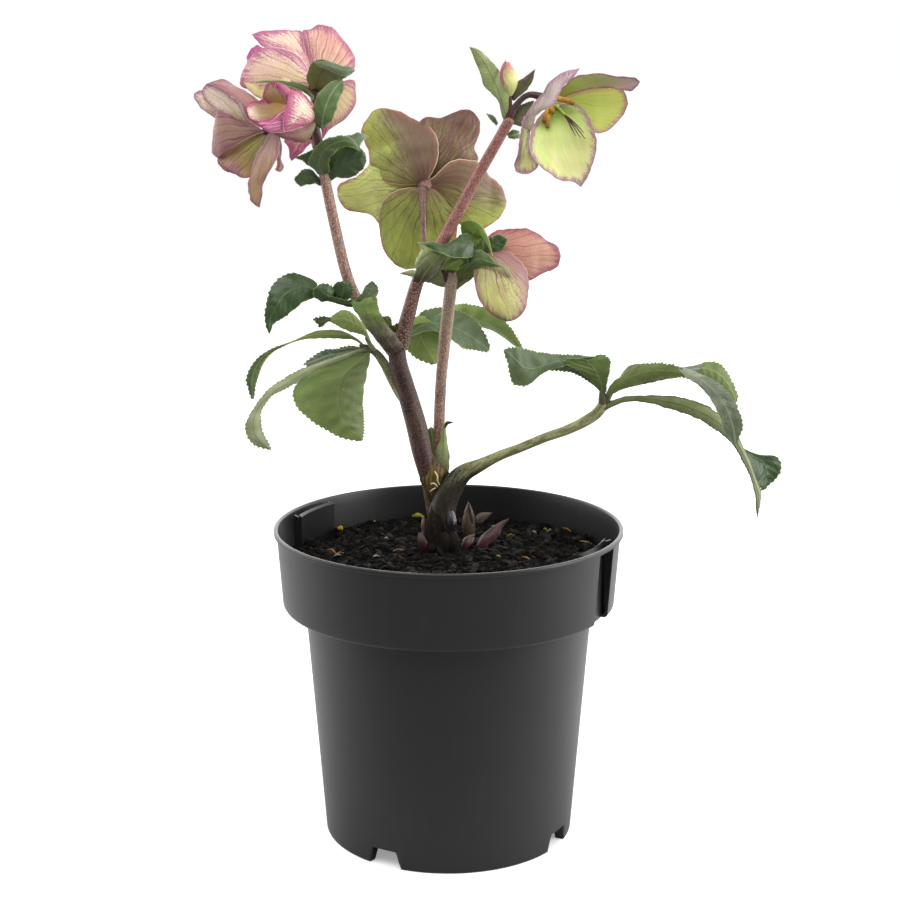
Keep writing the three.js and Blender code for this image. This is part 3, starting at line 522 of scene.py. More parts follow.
def spread(left, right, dome, middle=None, columns=29, **habit):
    """A sheet between two margins, with its midrib half-way unless `middle` draws it.

    Its upper side, which a positive dome swells, faces the front (-Y)."""
    length = (growth_line(left, 9)[2] + growth_line(right, 9)[2]) / 2
    toothed = np.any(habit.get("tooth", 0))
    rows = 5 * int(length / habit["pitch"]) + 1 if toothed else int(length / 1.1) + 14
    even_steps = np.linspace(0, 1, rows)
    t = even_steps if toothed else even_steps - 0.11 * np.sin(2 * math.pi * even_steps)
    edges = [growth_line(margin, t)[0] for margin in (left, right)]
    centre = growth_line(middle, t)[0] if middle else (edges[0] + edges[1]) / 2
    side = unit(edges[1] - edges[0])
    pinched = np.linalg.norm(edges[1] - edges[0], axis=1) < 2 * TIP_HALF
    side[pinched] = side[np.argmax(pinched) - 1]
    v = np.broadcast_to(crowded(columns)[None, :], (rows, columns))
    arms, halves = [], []
    for edge, sign in zip(edges, (-1, 1)):
        reach = (edge - centre) * sign
        half = np.linalg.norm(reach, axis=1)
        arm = unit(reach)
        arm[half < TIP_HALF] = side[half < TIP_HALF]
        arms.append(arm[:, None, :])
        halves.append(np.maximum(half, TIP_HALF)[:, None])
    half = np.where(v > 0, halves[1], halves[0])
    outward = np.where((v > 0)[..., None], arms[1], arms[0])
    along = unit(np.gradient(centre, axis=0))
    facing = unit(np.cross(side, along))
    left_handed = bool(facing[:, 1].mean() > 0)
    facing = -facing if left_handed else facing
    mean_half = (halves[0] + halves[1]) / 2
    points = (centre[:, None, :] + outward * (v * half)[..., None]
        + facing[:, None, :] * (dome * mean_half * (1 - v**2))[..., None])
    normal = unit(facing[:, None, :] + side[:, None, :] * (2 * dome * v)[..., None])
    tt = np.broadcast_to(t[:, None], v.shape)
    x_mm, y_mm = v * half, tt * length
    if not habit.get("pinnate"):
        grown = unit(centre[int(rows * 0.75)] - centre[0])
        flat_side = unit(np.cross(grown, facing.mean(axis=0)))
        x_mm, y_mm = (points - centre[0]) @ flat_side, (points - centre[0]) @ grown
    onward = np.broadcast_to(along[:, None, :], points.shape)
    grid = dict(points=points, normal=normal, outward=outward, onward=onward, v=v, t=tt, half=half)
    return close_sheet({**grid, "length": length, "x_mm": x_mm, "y_mm": y_mm, "left_handed": left_handed},
        **habit)


test_blade = blade("0 0 0, 5 0 9, 9 0 18", "0 0 0, 9 0 6", 0.1)
print("a test blade has", len(test_blade["right"]), "points at the right")

# %% [markdown]
# A stem is a tube along its line of growth. Real stems are never quite round: they are faintly ribbed
# and a little lumpy, and they end in a rounded stub where a flower sits. The rings are carried along
# the line without twisting, so the speckles run straight up the stem.

# %% One stem


def stem(points, radii, sides=22, ribs=0.0, lumps=0.0, seed=3, step=1.6, finish=0, flush=(0, 0), under=0.0):
    points = outline(points) if isinstance(points, str) else points
    length = growth_line(points, 40)[2]
    rows = int(length / step) + 6
    line, along, _ = growth_line(points, rows)
    t = np.linspace(0, 1, rows)
    radius = ease(np.linspace(0, 1, len(radii)), radii, t)
    line = np.concatenate([line, line[-1] + along[-1] * radius[-1] * np.array([[0.35], [0.6], [0.72]])])
    along = np.concatenate([along, np.repeat(along[-1:], 3, 0)])
    radius = np.concatenate([radius, radius[-1] * np.array([0.88, 0.6, 0.2])])
    t = np.concatenate([t, [1, 1, 1]])
    rows += 3
    first = np.cross(along[0], [0, 1, 0] if abs(along[0][1]) < 0.8 else [1, 0, 0])
    normals = [unit(first)]
    for direction in along[1:]:
        carried = normals[-1] - direction * (normals[-1] @ direction)
        normals.append(unit(carried))
    normals = np.array(normals)
    sidewise = np.cross(along, normals)
    turn = np.arange(sides + 1) * 2 * math.pi / sides
    random = np.random.default_rng(seed)
    wobble = sum(np.sin(turn[None, :] * k + random.random() * 6
        + t[:, None] * length / (4 + 5 * random.random())) for k in (1, 2, 3)) / 3
    reach = radius[:, None] * (1 + ribs * np.cos(turn * 7)[None, :] + lumps * wobble)
    reach[:, -1] = reach[:, 0]
    points = (line[:, None, :] + normals[:, None, :] * (reach * np.cos(turn))[..., None]
        + sidewise[:, None, :] * (reach * np.sin(turn))[..., None])
    index = np.arange(rows * (sides + 1)).reshape(rows, sides + 1)
    walls = np.stack([index[:-1, :-1], index[:-1, 1:], index[1:, 1:], index[1:, :-1]], -1).reshape(-1, 4)
    count = rows * (sides + 1)
    caps = [(int(index[0, k + 1]), int(index[0, k]), count) for k in range(sides)]
    caps += [(int(index[-1, k]), int(index[-1, k + 1]), count + 1) for k in range(sides)]
    tt = np.broadcast_to(t[:, None], reach.shape)
    around = np.broadcast_to(turn / math.pi - 1, reach.shape)
    # `under` paints shade: it raises the flush, and with it the flushed colour, on the side of the stem that
    # faces down.
    below = -normals[:, None, 2] * np.cos(turn) - sidewise[:, None, 2] * np.sin(turn)
    flushed = flush[0] + (flush[1] - flush[0]) * tt + under * np.clip(below, 0, 1)
    pad = lambda values, ends: np.concatenate([np.broadcast_to(values, reach.shape).ravel(), ends])
    grain = np.stack([pad(around * math.pi * radius[:, None], [0, 0]), pad(tt * length, [0, length])], axis=1)
    return {
        "points": np.concatenate([points.reshape(-1, 3), line[:1], line[-1:]]),
        "faces": [tuple(face) for face in walls.tolist()] + caps,
        "finishes": [finish] * (len(walls) + len(caps)),
        "across": pad(around, [0, 0]), "along": pad(tt, [0, 1]), "rim_mm": pad(9.0, [9, 9]),
        "flush": pad(flushed, flush), "grain": grain,
    }


print("a test stem of", len(stem("0 0 0, 0 0 20", [2, 1])["faces"]), "faces")

# %% [markdown]
# The finishes of living tissue share a few patterns. `read` fetches one of the numbers that the parts
# carry, `band` turns a distance into a soft mask, and `thin_lines` draws lines a given width apart.
# `fan_veins` spreads such lines from a sepal's base, and `feather_veins` sets them at an angle to a
# midrib. `feathered` draws the soft edge of a flush out into streaks and stipple, as pigment cells do.

# %% Patterns on living tissue


def read(tree, name):
    return add(tree, "Attribute", attribute_name=name).outputs["Fac"]


def band(tree, value, near, far):
    """1 below `near`, 0 beyond `far`, soft between."""
    return add(tree, "MapRange", {0: value, 1: near, 2: far, 3: 1.0, 4: 0.0},
        interpolation_type="SMOOTHSTEP")


def tissue_noise(tree, size_mm, detail=3.0, stretch=1.0, shift=0.0):
    """Noise whose patches are about `size_mm` wide, drawn out along the growth by `stretch`."""
    grain = add(tree, "UVMap", uv_map="grain")
    drawn = add(tree, "Mapping", {0: grain, 1: (shift, shift, shift), 3: (1, 1 / stretch, 1)})
    return add(tree, "TexNoise", {"Vector": drawn, "Scale": UV_SPAN / size_mm, "Detail": detail})


def swing(tree, value, reach):
    """Noise turned into a push between -reach and reach."""
    return add(tree, "MapRange", {0: value, 1: 0.3, 2: 0.7, 3: -reach, 4: reach})


print("bands, noise and swings are read in millimetres of tissue")

# %% Veins


def thin_lines(tree, phase, gap_mm, width_mm):
    """Lines where the phase is a whole number. They lie `gap_mm` apart, which may be linked."""
    away = add(tree, "Math", {0: phase, 1: 0.5}, operation="PINGPONG")
    away_mm = add(tree, "Math", {0: away, 1: gap_mm}, operation="MULTIPLY")
    return band(tree, away_mm, width_mm * 0.15, width_mm * 0.7)


def fan(tree, root_mm=5.0, bend_mm=1.0):
    """The angle and the distance from a point `root_mm` below the base of the sheet, gently bent."""
    spot = add(tree, "SeparateXYZ", {0: add(tree, "UVMap", uv_map="grain")})
    bend = swing(tree, tissue_noise(tree, 7.0, 2.0, 2.0, 0.6), bend_mm)
    across = add(tree, "Math", {0: spot.outputs["X"], 1: UV_SPAN, 2: bend}, operation="MULTIPLY_ADD")
    along = add(tree, "Math", {0: spot.outputs["Y"], 1: UV_SPAN, 2: root_mm}, operation="MULTIPLY_ADD")
    return add(tree, "Math", {0: across, 1: along}, operation="ARCTAN2"), along


def fan_veins(tree, rays, per_radian, width_mm):
    angle, along = rays
    phase = add(tree, "Math", {0: angle, 1: per_radian}, operation="MULTIPLY")
    gap_mm = add(tree, "Math", {0: along, 1: 1 / per_radian}, operation="MULTIPLY")
    return thin_lines(tree, phase, gap_mm, width_mm)


def fan_streaks(tree, rays, per_radian, long_mm=13.0):
    """Noise drawn out along the rays, from 0 to 1."""
    angle, along = rays
    turn = add(tree, "Math", {0: angle, 1: per_radian}, operation="MULTIPLY")
    climb = add(tree, "Math", {0: along, 1: 1 / long_mm}, operation="MULTIPLY")
    spot = add(tree, "CombineXYZ", {"X": turn, "Y": climb})
    return add(tree, "TexNoise", {"Vector": spot, "Scale": 1.0, "Detail": 3.0})


def feather_veins(tree, pitch_mm, width_mm, slope=0.9):
    spot = add(tree, "SeparateXYZ", {0: add(tree, "UVMap", uv_map="grain")})
    away = add(tree, "Math", {0: spot.outputs["X"]}, operation="ABSOLUTE")
    climb = add(tree, "Math", {0: away, 1: -slope, 2: spot.outputs["Y"]}, operation="MULTIPLY_ADD")
    wander = tissue_noise(tree, 10.0, 2.0)
    phase = add(tree, "Math", {0: climb, 1: UV_SPAN / pitch_mm, 2: wander}, operation="MULTIPLY_ADD")
    return thin_lines(tree, phase, pitch_mm, width_mm)


def net_veins(tree, size_mm, width=0.07):
    grain = add(tree, "UVMap", uv_map="grain")
    cells = add(tree, "TexVoronoi", {"Vector": grain, "Scale": UV_SPAN / size_mm},
        feature="DISTANCE_TO_EDGE")
    return band(tree, cells.outputs["Distance"], 0.0, width)


def feathered(tree, level, streaks, lines, patchy=0.25, streaky=0.45, grainy=0.3):
    """A level from 0 to 1 whose soft edge is drawn out in streaks, carried on by veins and stippled."""
    push = add(tree, "Math", {0: lines, 1: 0.3}, operation="MULTIPLY")
    for pattern, reach in ((tissue_noise(tree, 9.0, 3.0, 1.5, 0.3), patchy), (streaks, streaky),
            (tissue_noise(tree, 0.8, 1.0, 1.5), grainy)):
        push = add(tree, "Math", {0: swing(tree, pattern, reach), 1: push}, operation="ADD")
    level = add(tree, "Clamp", {0: level})
    rest = add(tree, "Math", {0: 1.0, 1: level}, operation="SUBTRACT")
    unsettled = add(tree, "Math", {0: level, 1: rest}, operation="MULTIPLY")
    room = add(tree, "Math", {0: unsettled, 1: 4.0}, operation="MULTIPLY")
    return add(tree, "Math", {0: push, 1: room, 2: level}, operation="MULTIPLY_ADD", use_clamp=True)


def tinted(tree, mask, strength, under, over):
    """`over` laid on `under` where the mask is 1, at most as strongly as `strength`."""
    amount = add(tree, "Math", {0: mask, 1: strength}, operation="MULTIPLY")
    return add(tree, "Mix", {FACTOR: amount, FIRST: under, SECOND: over}, data_type="RGBA")



print("patterns of living tissue: veins, streaks, stipple and flush")

# %% [markdown]
# A hellebore's coloured "petals" are sepals: leathery, long-lasting sheets with a satin cuticle. Light
# enters them, so a little subsurface scattering keeps their shaded side from going grey. The colour
# runs from the base over the body to a blush that creeps in from the margin along the veins, and a
# thin line edges the sheet, pale where it is sheltered and dark where it is free.

# %% Sepal finish


def sepal_finish(name, base, body, blush, vein, edge=("#d9d3b0", "#8a4a58"), blush_mm=6.0,
        blush_strength=0.85, flushed=None, streak=None, streak_strength=0.3, veins=6.0, vein_strength=0.35,
        net_strength=0.1, base_reach=0.35, edge_mm=0.4, roughness=0.46, glow=0.12, gloss=0.35,
        streaky=0.45):
    material, tree = new_finish(name)
    along, rim_mm, rays = read(tree, "along"), read(tree, "rim_mm"), fan(tree)
    main, fine = fan_veins(tree, rays, veins, 0.55), fan_veins(tree, rays, veins * 2.7, 0.32)
    streaks = fan_streaks(tree, rays, 26.0)
    patches = tissue_noise(tree, 6.0, 4.0, 1.6)
    grown = add(tree, "Math", {0: swing(tree, streaks, 0.14), 1: along}, operation="ADD")
    color = tinted(tree, band(tree, grown, 0.02, base_reach + 0.3), 1.0, linear(body), linear(base))
    color = tinted(tree, band(tree, patches, 0.35, 0.7), 0.25, color, linear(base))
    color = tinted(tree, band(tree, streaks, 0.38, 0.62), streak_strength, color, linear(streak or blush))
    if flushed:
        flush = feathered(tree, read(tree, "flush"), streaks, main, streaky=streaky, grainy=streaky * 0.6)
        color = tinted(tree, flush, 0.92, color, linear(flushed))
    near_rim = add(tree, "Math", {0: band(tree, rim_mm, 0.0, blush_mm * 1.6), 1: 1.5}, operation="POWER")
    color = tinted(tree, feathered(tree, near_rim, streaks, main), blush_strength, color, linear(blush))
    color = tinted(tree, net_veins(tree, 1.7), net_strength, color, linear(vein))
    color = tinted(tree, fine, vein_strength * 0.4, color, linear(vein))
    color = tinted(tree, main, vein_strength, color, linear(vein))
    margin = tinted(tree, band(tree, along, 0.3, 0.75), 1.0, linear(edge[1]), linear(edge[0]))
    color = tinted(tree, band(tree, rim_mm, edge_mm * 0.4, edge_mm * 1.3), 0.8, color, margin)
    ridges = add(tree, "Math", {0: main, 1: fine}, operation="MAXIMUM")
    cells = tissue_noise(tree, 0.6, 2.0)
    relief = add(tree, "Math", {0: cells, 1: 0.6, 2: ridges}, operation="MULTIPLY_ADD")
    bump = add(tree, "Bump", {"Height": relief, "Strength": 0.2, "Distance": 0.0002})
    wet = add(tree, "MapRange", {0: patches, 3: roughness - 0.07, 4: roughness + 0.09})
    shader = add(tree, "BsdfPrincipled", {"Base Color": color, "Roughness": wet, "Normal": bump,
        "Specular IOR Level": gloss, "Subsurface Weight": glow, "Subsurface Radius": (1.0, 0.55, 0.3),
        "Subsurface Scale": 0.0015})
    add(tree, "OutputMaterial", {"Surface": shader})
    return material



print("a sepal's blush reaches", sepal_finish.__defaults__[1], "mm in from its margin by default")

# %% [markdown]
# A hellebore leaf is tough and evergreen. Its upper side is dark, with pale veins and a waxy sheen that
# turns grey-blue under a soft light, and its underside is matt and paler, with a raised reddish
# midrib. The teeth are yellow-green, because the margin is thickened there.

# %% Leaf finish


def leaf_finish(name, body, shade, vein, midrib, edge, pitch_mm=8.0, vein_strength=0.22, net_strength=0.1,
        midrib_mm=0.6, midrib_strength=0.7, roughness=0.42, gloss=0.5, edge_mm=0.55, flushed=None,
        glow=0.06):
    material, tree = new_finish(name)
    patches = tissue_noise(tree, 8.0, 4.0)
    mottle = tissue_noise(tree, 1.3, 3.0)
    color = tinted(tree, band(tree, patches, 0.35, 0.65), 0.7, linear(body), linear(shade))
    color = tinted(tree, band(tree, mottle, 0.35, 0.6), 0.22, color, linear(shade))
    side = feather_veins(tree, pitch_mm, 0.5)
    if flushed:
        streaks = tissue_noise(tree, 1.6, 2.0, 6.0)
        flush = feathered(tree, read(tree, "flush"), streaks, side, streaky=0.25)
        color = tinted(tree, flush, 0.95, color, linear(flushed))
    net = net_veins(tree, 1.9)
    color = tinted(tree, net, net_strength, color, linear(vein))
    color = tinted(tree, side, vein_strength, color, linear(vein))
    spot = add(tree, "SeparateXYZ", {0: add(tree, "UVMap", uv_map="grain")})
    away = add(tree, "Math", {0: spot.outputs["X"]}, operation="ABSOLUTE")
    rib = band(tree, away, midrib_mm * 0.4 / UV_SPAN, midrib_mm / UV_SPAN)
    color = tinted(tree, rib, midrib_strength, color, linear(midrib))
    color = tinted(tree, band(tree, read(tree, "rim_mm"), edge_mm * 0.4, edge_mm), 0.7, color, linear(edge))
    lines = add(tree, "Math", {0: side, 1: rib}, operation="MAXIMUM")
    rough_net = add(tree, "Math", {0: net, 1: 0.5, 2: mottle}, operation="MULTIPLY_ADD")
    relief = add(tree, "Math", {0: rough_net, 1: 0.6, 2: lines}, operation="MULTIPLY_ADD")
    bump = add(tree, "Bump", {"Height": relief, "Strength": 0.4, "Distance": 0.0004})
    wax = add(tree, "MapRange", {0: patches, 3: roughness - 0.06, 4: roughness + 0.1})
    shader = add(tree, "BsdfPrincipled", {"Base Color": color, "Roughness": wax, "Normal": bump,
        "Specular IOR Level": gloss, "Subsurface Weight": glow, "Subsurface Radius": (0.5, 1.0, 0.2),
        "Subsurface Scale": 0.001})
    add(tree, "OutputMaterial", {"Surface": shader})
    return material



print("a leaf's side veins lie", leaf_finish.__defaults__[0], "mm apart by default")

# %% [markdown]
# The stems are smooth and satin, dark with anthocyanin where the light reaches them and green where it
# does not. Fine pale lenticels stipple them, drawn out a little with the growth. They are the hearts of
# random cells, of which some stay empty, and a streaky noise mottles the skin under them.

# %% Stem finish


def lenticels(tree, size_mm, share):
    """Round specks at the hearts of cells `size_mm` wide. `share` of the cells have one."""
    grain = add(tree, "UVMap", uv_map="grain")
    drawn = add(tree, "Mapping", {0: grain, 3: (1, 0.6, 1)})
    cells = add(tree, "TexVoronoi", {"Vector": drawn, "Scale": UV_SPAN / size_mm})
    lot = add(tree, "SeparateColor", {0: cells.outputs["Color"]}).outputs[0]
    kept = add(tree, "Math", {0: lot, 1: share}, operation="LESS_THAN")
    heart = band(tree, cells.outputs["Distance"], 0.2, 0.55)
    return add(tree, "Math", {0: heart, 1: kept}, operation="MULTIPLY")


def stem_finish(name, body, shade, speck, flushed, speck_mm=0.9, speck_strength=0.6, share=0.75,
        roughness=0.42, gloss=0.4):
    material, tree = new_finish(name)
    mottle = tissue_noise(tree, 2.6, 4.0, 3.5)
    color = tinted(tree, band(tree, mottle, 0.35, 0.62), 0.85, linear(body), linear(shade))
    drawn = tissue_noise(tree, 2.0, 3.0, 7.0, 0.2)
    color = tinted(tree, feathered(tree, read(tree, "flush"), drawn, mottle), 0.95, color, linear(flushed))
    specks = lenticels(tree, speck_mm, share)
    color = tinted(tree, specks, speck_strength, color, linear(speck))
    relief = add(tree, "Math", {0: specks, 1: 0.7, 2: mottle}, operation="MULTIPLY_ADD")
    bump = add(tree, "Bump", {"Height": relief, "Strength": 0.35, "Distance": 0.0003})
    satin = add(tree, "MapRange", {0: mottle, 3: roughness - 0.06, 4: roughness + 0.12})
    shader = add(tree, "BsdfPrincipled", {"Base Color": color, "Roughness": satin, "Normal": bump,
        "Specular IOR Level": gloss, "Subsurface Weight": 0.05, "Subsurface Radius": (1.0, 0.5, 0.3),
        "Subsurface Scale": 0.0015})
    add(tree, "OutputMaterial", {"Surface": shader})
    return material

# %% [markdown]
# ## The stems
#
# The main stem is nearly black-red with buff specks. It forks low into a pinkish right branch and a
# brown left branch, and a slimmer second stem rises behind it. Each branch carries short pedicels that
# hold the flowers. They are made as one piece per branch, as they grow.

# %% Stem colours
MAROON = stem_finish("maroon stem with buff lenticels", "#3f2724", "#2c1b18", "#8c7460", "#6a5248",
    speck_mm=0.5, share=0.85, speck_strength=0.5)
BROWN = stem_finish("brown stem with pale lenticels", "#946c62", "#74524a", "#d8c0ac", "#4c322e",
    speck_mm=0.5, share=0.9, speck_strength=0.75)
ROSE = stem_finish("rose-brown stem with pale lenticels", "#96605a", "#70443e", "#d0a894", "#3f2a26",
    speck_mm=0.5, share=0.9)
TAN = stem_finish("rose stem, tan above", "#84584f", "#64403a", "#d8c2ac", "#a08c78", speck_mm=0.5,
    share=0.9, speck_strength=0.75)
PEDICEL = stem_finish("dark smooth pedicel", "#4a2a2c", "#3b2222", "#7b5a4c", "#6d7a3c", speck_strength=0.3)
PALE_PEDICEL = stem_finish("grey-pink pedicel", "#94756a", "#7c5a52", "#b09a86", "#5a3434",
    speck_strength=0.4)
JOINT = stem_finish("dark leaf joint", "#4a3a2c", "#3a2a2c", "#7b6a4c", "#55703a", speck_strength=0.25)
OLIVE = stem_finish("olive petiole mottled with brown", "#9c9f72", "#6a6544", "#4a3a2c", "#1d1714",
    speck_mm=0.9, share=0.5, speck_strength=0.5, roughness=0.5, gloss=0.3)
print("eight stem colours")

# %% Stems and pedicels
grown_piece("main_stem-grown", [
    stem("-7.5 13 172, -10 13 192, -13.5 12 207.5, -17 11 223.5, -21 9 239.5, -24 7 250.5, "
        "-27 4 262, -28 3 274", [3.6, 4.4, 5.2, 5.7, 5.5, 5.2, 4.9, 4.6], ribs=0.012, lumps=0.03, sides=32,
        flush=(0.2, 0.0)),
], [MAROON], "dark_stem", "main_stem")
grown_piece("second_stem-grown", [
    stem("-6 20 168, -6 20 194, -4 16 250, -0.5 9 286, 1.5 3 304, 2.5 4 312",
        [3.8, 3.6, 3.1, 3.1, 3.4, 3.4], ribs=0.01, lumps=0.03, flush=(-0.5, 0.9)),
    stem("1 7 308, -6 8 316, -12.5 12 326, -13.5 16 340, -14 24 353", [2, 1.7, 1.5, 1.6, 2.6], finish=2,
        flush=(0.0, 0.7)),
    stem("-12.5 22 353, -12.5 26 354.5, -12.5 31 356", [1.8, 4.2, 4.0], finish=2, flush=(0.3, 0.3),
        lumps=0.12, step=0.7),
    stem("2 6 310, 10 5 317, 19 5 318", [2, 1.8, 3], finish=1),
    # This short dark tube is painted shadow: it fills the gap between the clasp and the stem, where there is
    # only shade, with the pedicel finish.
    stem("-3 2 312, -1.5 2 308.5, 0 3 304", [1.5, 1.5, 1.5], finish=1),
], [TAN, PEDICEL, PALE_PEDICEL], "pink_stem", "second_stem")
grown_piece("right_branch-grown", [
    stem("-26 3 270, -23 2 282, -15 0 309, -3 -4 328, 13 -8 358, 31 -12 390",
        [4.6, 3.6, 3.3, 3.1, 2.8, 2.8], ribs=0.01, lumps=0.03, flush=(1.3, -1.6)),
    stem("30 -12 388, 34 -11 397, 41 -10 403, 51 -11 401", [2.4, 1.7, 1.6, 2.6], finish=1),
    stem("30 -12 389, 31 -12 397, 30.5 -12 404", [2, 1.6, 1.8], finish=1),
], [ROSE, PEDICEL], "pink_stem", "right_branch")
grown_piece("left_branch-grown", [
    stem("-30 3 268, -44 1 288, -53 0 307, -60 -1 337, -66 -3 368, -70 -4 384",
        [3.4, 3.2, 3, 2.9, 2.7, 2.6], ribs=0.01, lumps=0.03, flush=(0.3, -0.1)),
    stem("-70 -4 382, -69 4 394, -71 13 407", [2.4, 1.8, 3], finish=1),
    stem("-69 -4 381, -81 -6 385, -94 -10 384", [2, 1.7, 2.8], finish=1),
    stem("-67 -5 374, -67.5 -9 381, -69 -9 388.5", [2.6, 2.4, 2.2], finish=1),
], [BROWN, PEDICEL], "dark_stem", "left_branch")
# The petiole's dark flushed colour is its own dark foot, and through `under` it is also painted shade along
# the lower side.
grown_piece("basal_leaf_petiole-grown", [
    stem("-3.5 10 168, -3 10 179.5, -1 9.5 187, 3.5 9 194.5, 8.5 8 200, 17 7 204.5, 28 5 210.5, "
        "39 4 215, 52 2 221, 64 1 225.5, 73.5 0 230.5, 79.5 -1 235, 83 -2 240",
        [7.8, 7.4, 6.9, 5.6, 4.2, 3.1, 2.6, 2.4, 2.5, 2.6, 2.7, 2.9, 2.9], ribs=0.02, lumps=0.04, sides=32,
        flush=(2.0, -3.0), under=0.55),
    stem("83 -2 238, 82.5 -2.5 243, 82 -3 249", [2.6, 2.3, 1.2], finish=1, flush=(0.1, 0.7)),
    stem("83.5 -2 240, 85.5 -3 244.5, 88 -5 248.5", [2.2, 1.7, 0.9], finish=1, flush=(0.1, 0.7)),
    stem("83 -2 238.5, 86.5 -3 240.5, 91.5 -5 242.5", [2.3, 1.7, 1.0], finish=1, flush=(0.1, 0.7)),
], [OLIVE, JOINT], "green_stem", "basal_leaf_petiole")
grown_piece("stem_leaf_petiole-grown", [
    stem("-23 8 238, -26.5 8 243.5, -30 10 250, -34.5 11 259.5, -39 12 265.5, -43.5 12 268.5, "
        "-47.5 11 270", [2.0, 2.2, 2.4, 2.6, 2.4, 1.9, 1.0], flush=(0.1, 0.4)),
    stem("-40 12 266.5, -42 11 270, -44.5 10 274", [1.6, 1.3, 0.8], flush=(0.1, 0.3)),
], [OLIVE], "green_stem", "stem_leaf_petiole")

# %% [markdown]
# ## The flowers
#
# Each flower has five free sepals. The top flower turns its cream and rose back to the viewer, the
# cup flower is half open, the side flower hangs with folded strips, the back flower spreads like a
# wheel, the low flower peeps out from behind its bracts, and the open flower shows its lime inside.
# A sepal's two sides differ, so each sheet has a pair of finishes: the side that faces the viewer,
# then the side behind. Every sheet gets its own ripples.

# %% From sheets to flowers


def sheets_piece(node, specs, paint, slot, seed, more=(), **habit):
    """A piece of several sheets. `paint` has the finishes of the two sides, where a sheet brings none."""
    parts, finishes = [part for part, _ in more], [finish for _, finish in more]
    for k, spec in enumerate(specs):
        shape = {key: value for key, value in spec.items() if key != "paint"}
        sides = spec.get("paint", paint)
        made = (spread if "left" in spec else sheet)(**{**habit, "seed": seed + k, **shape})
        finishes += [side for side in sides if side not in finishes]
        made["finishes"] = [finishes.index(sides[side]) for side in made["finishes"]]
        parts.append(made)
    grown_piece(f"{node}-grown", parts, finishes, slot, node)


def flower(name, sepals, paint, slot, **habit):
    for number, sheets in enumerate(sepals, start=1):
        sheets_piece(f"{name}_sepal_{number}", sheets, paint, slot, 10 * number,
            **{"ruffle": 0.8, "waves": 2.6, "quilt": 0.12, **habit})


print("a flower is a list of sepals, and a sepal a list of sheets")

# %% [markdown]
# The top flower is the showiest. Its cream backs are washed with dusty rose and netted with crimson
# veins, and its margins are a strong rose, so each sepal gets the finish that its own colours call for.

# %% Top flower
ROSE_BACK = sepal_finish("cream sepal back flushed rose", "#fbf4bc", "#f8e4c8", "#a04c80", "#a04a66",
    edge=("#fff6ee", "#7c3a62"), blush_mm=6.5, blush_strength=0.9, flushed="#d8a098", vein_strength=0.3,
    streak="#d08c9c", streak_strength=0.3)
ROSE_TAN = sepal_finish("dusty rose sepal back, crimson veins", "#e8d4a8", "#d8a898", "#9c5078", "#8c4450",
    edge=("#fff6ee", "#7c3a62"), blush_mm=5.0, flushed="#c89088", vein_strength=0.4, streak="#e0bca4",
    streak_strength=0.4)
ROSE_OLIVE = sepal_finish("olive-cream sepal back edged rose", "#d0c88c", "#d4c498", "#a05880", "#a05c70",
    edge=("#eadfc0", "#84406a"), blush_mm=5.0, vein_strength=0.35, streak="#d8a898")
ROSE_FRONT = sepal_finish("cream sepal face edged rose", "#eeeab0", "#f2e4c0", "#c06a98", "#b8788a",
    edge=("#eadfc0", "#8a4066"), blush_mm=3.5, vein_strength=0.25)
ROSE_DEEP = sepal_finish("deep rose sepal fold", "#e0a0b8", "#d48cae", "#a8447c", "#98406c",
    edge=("#f0e0e0", "#84406a"), blush_mm=5.0, flushed="#b8689a")
CREAM = sepal_finish("cream-yellow sepal base", "#f4f0a8", "#fbf2c0", "#e0b48c", "#c8b078",
    vein_strength=0.2, blush_mm=1.5)
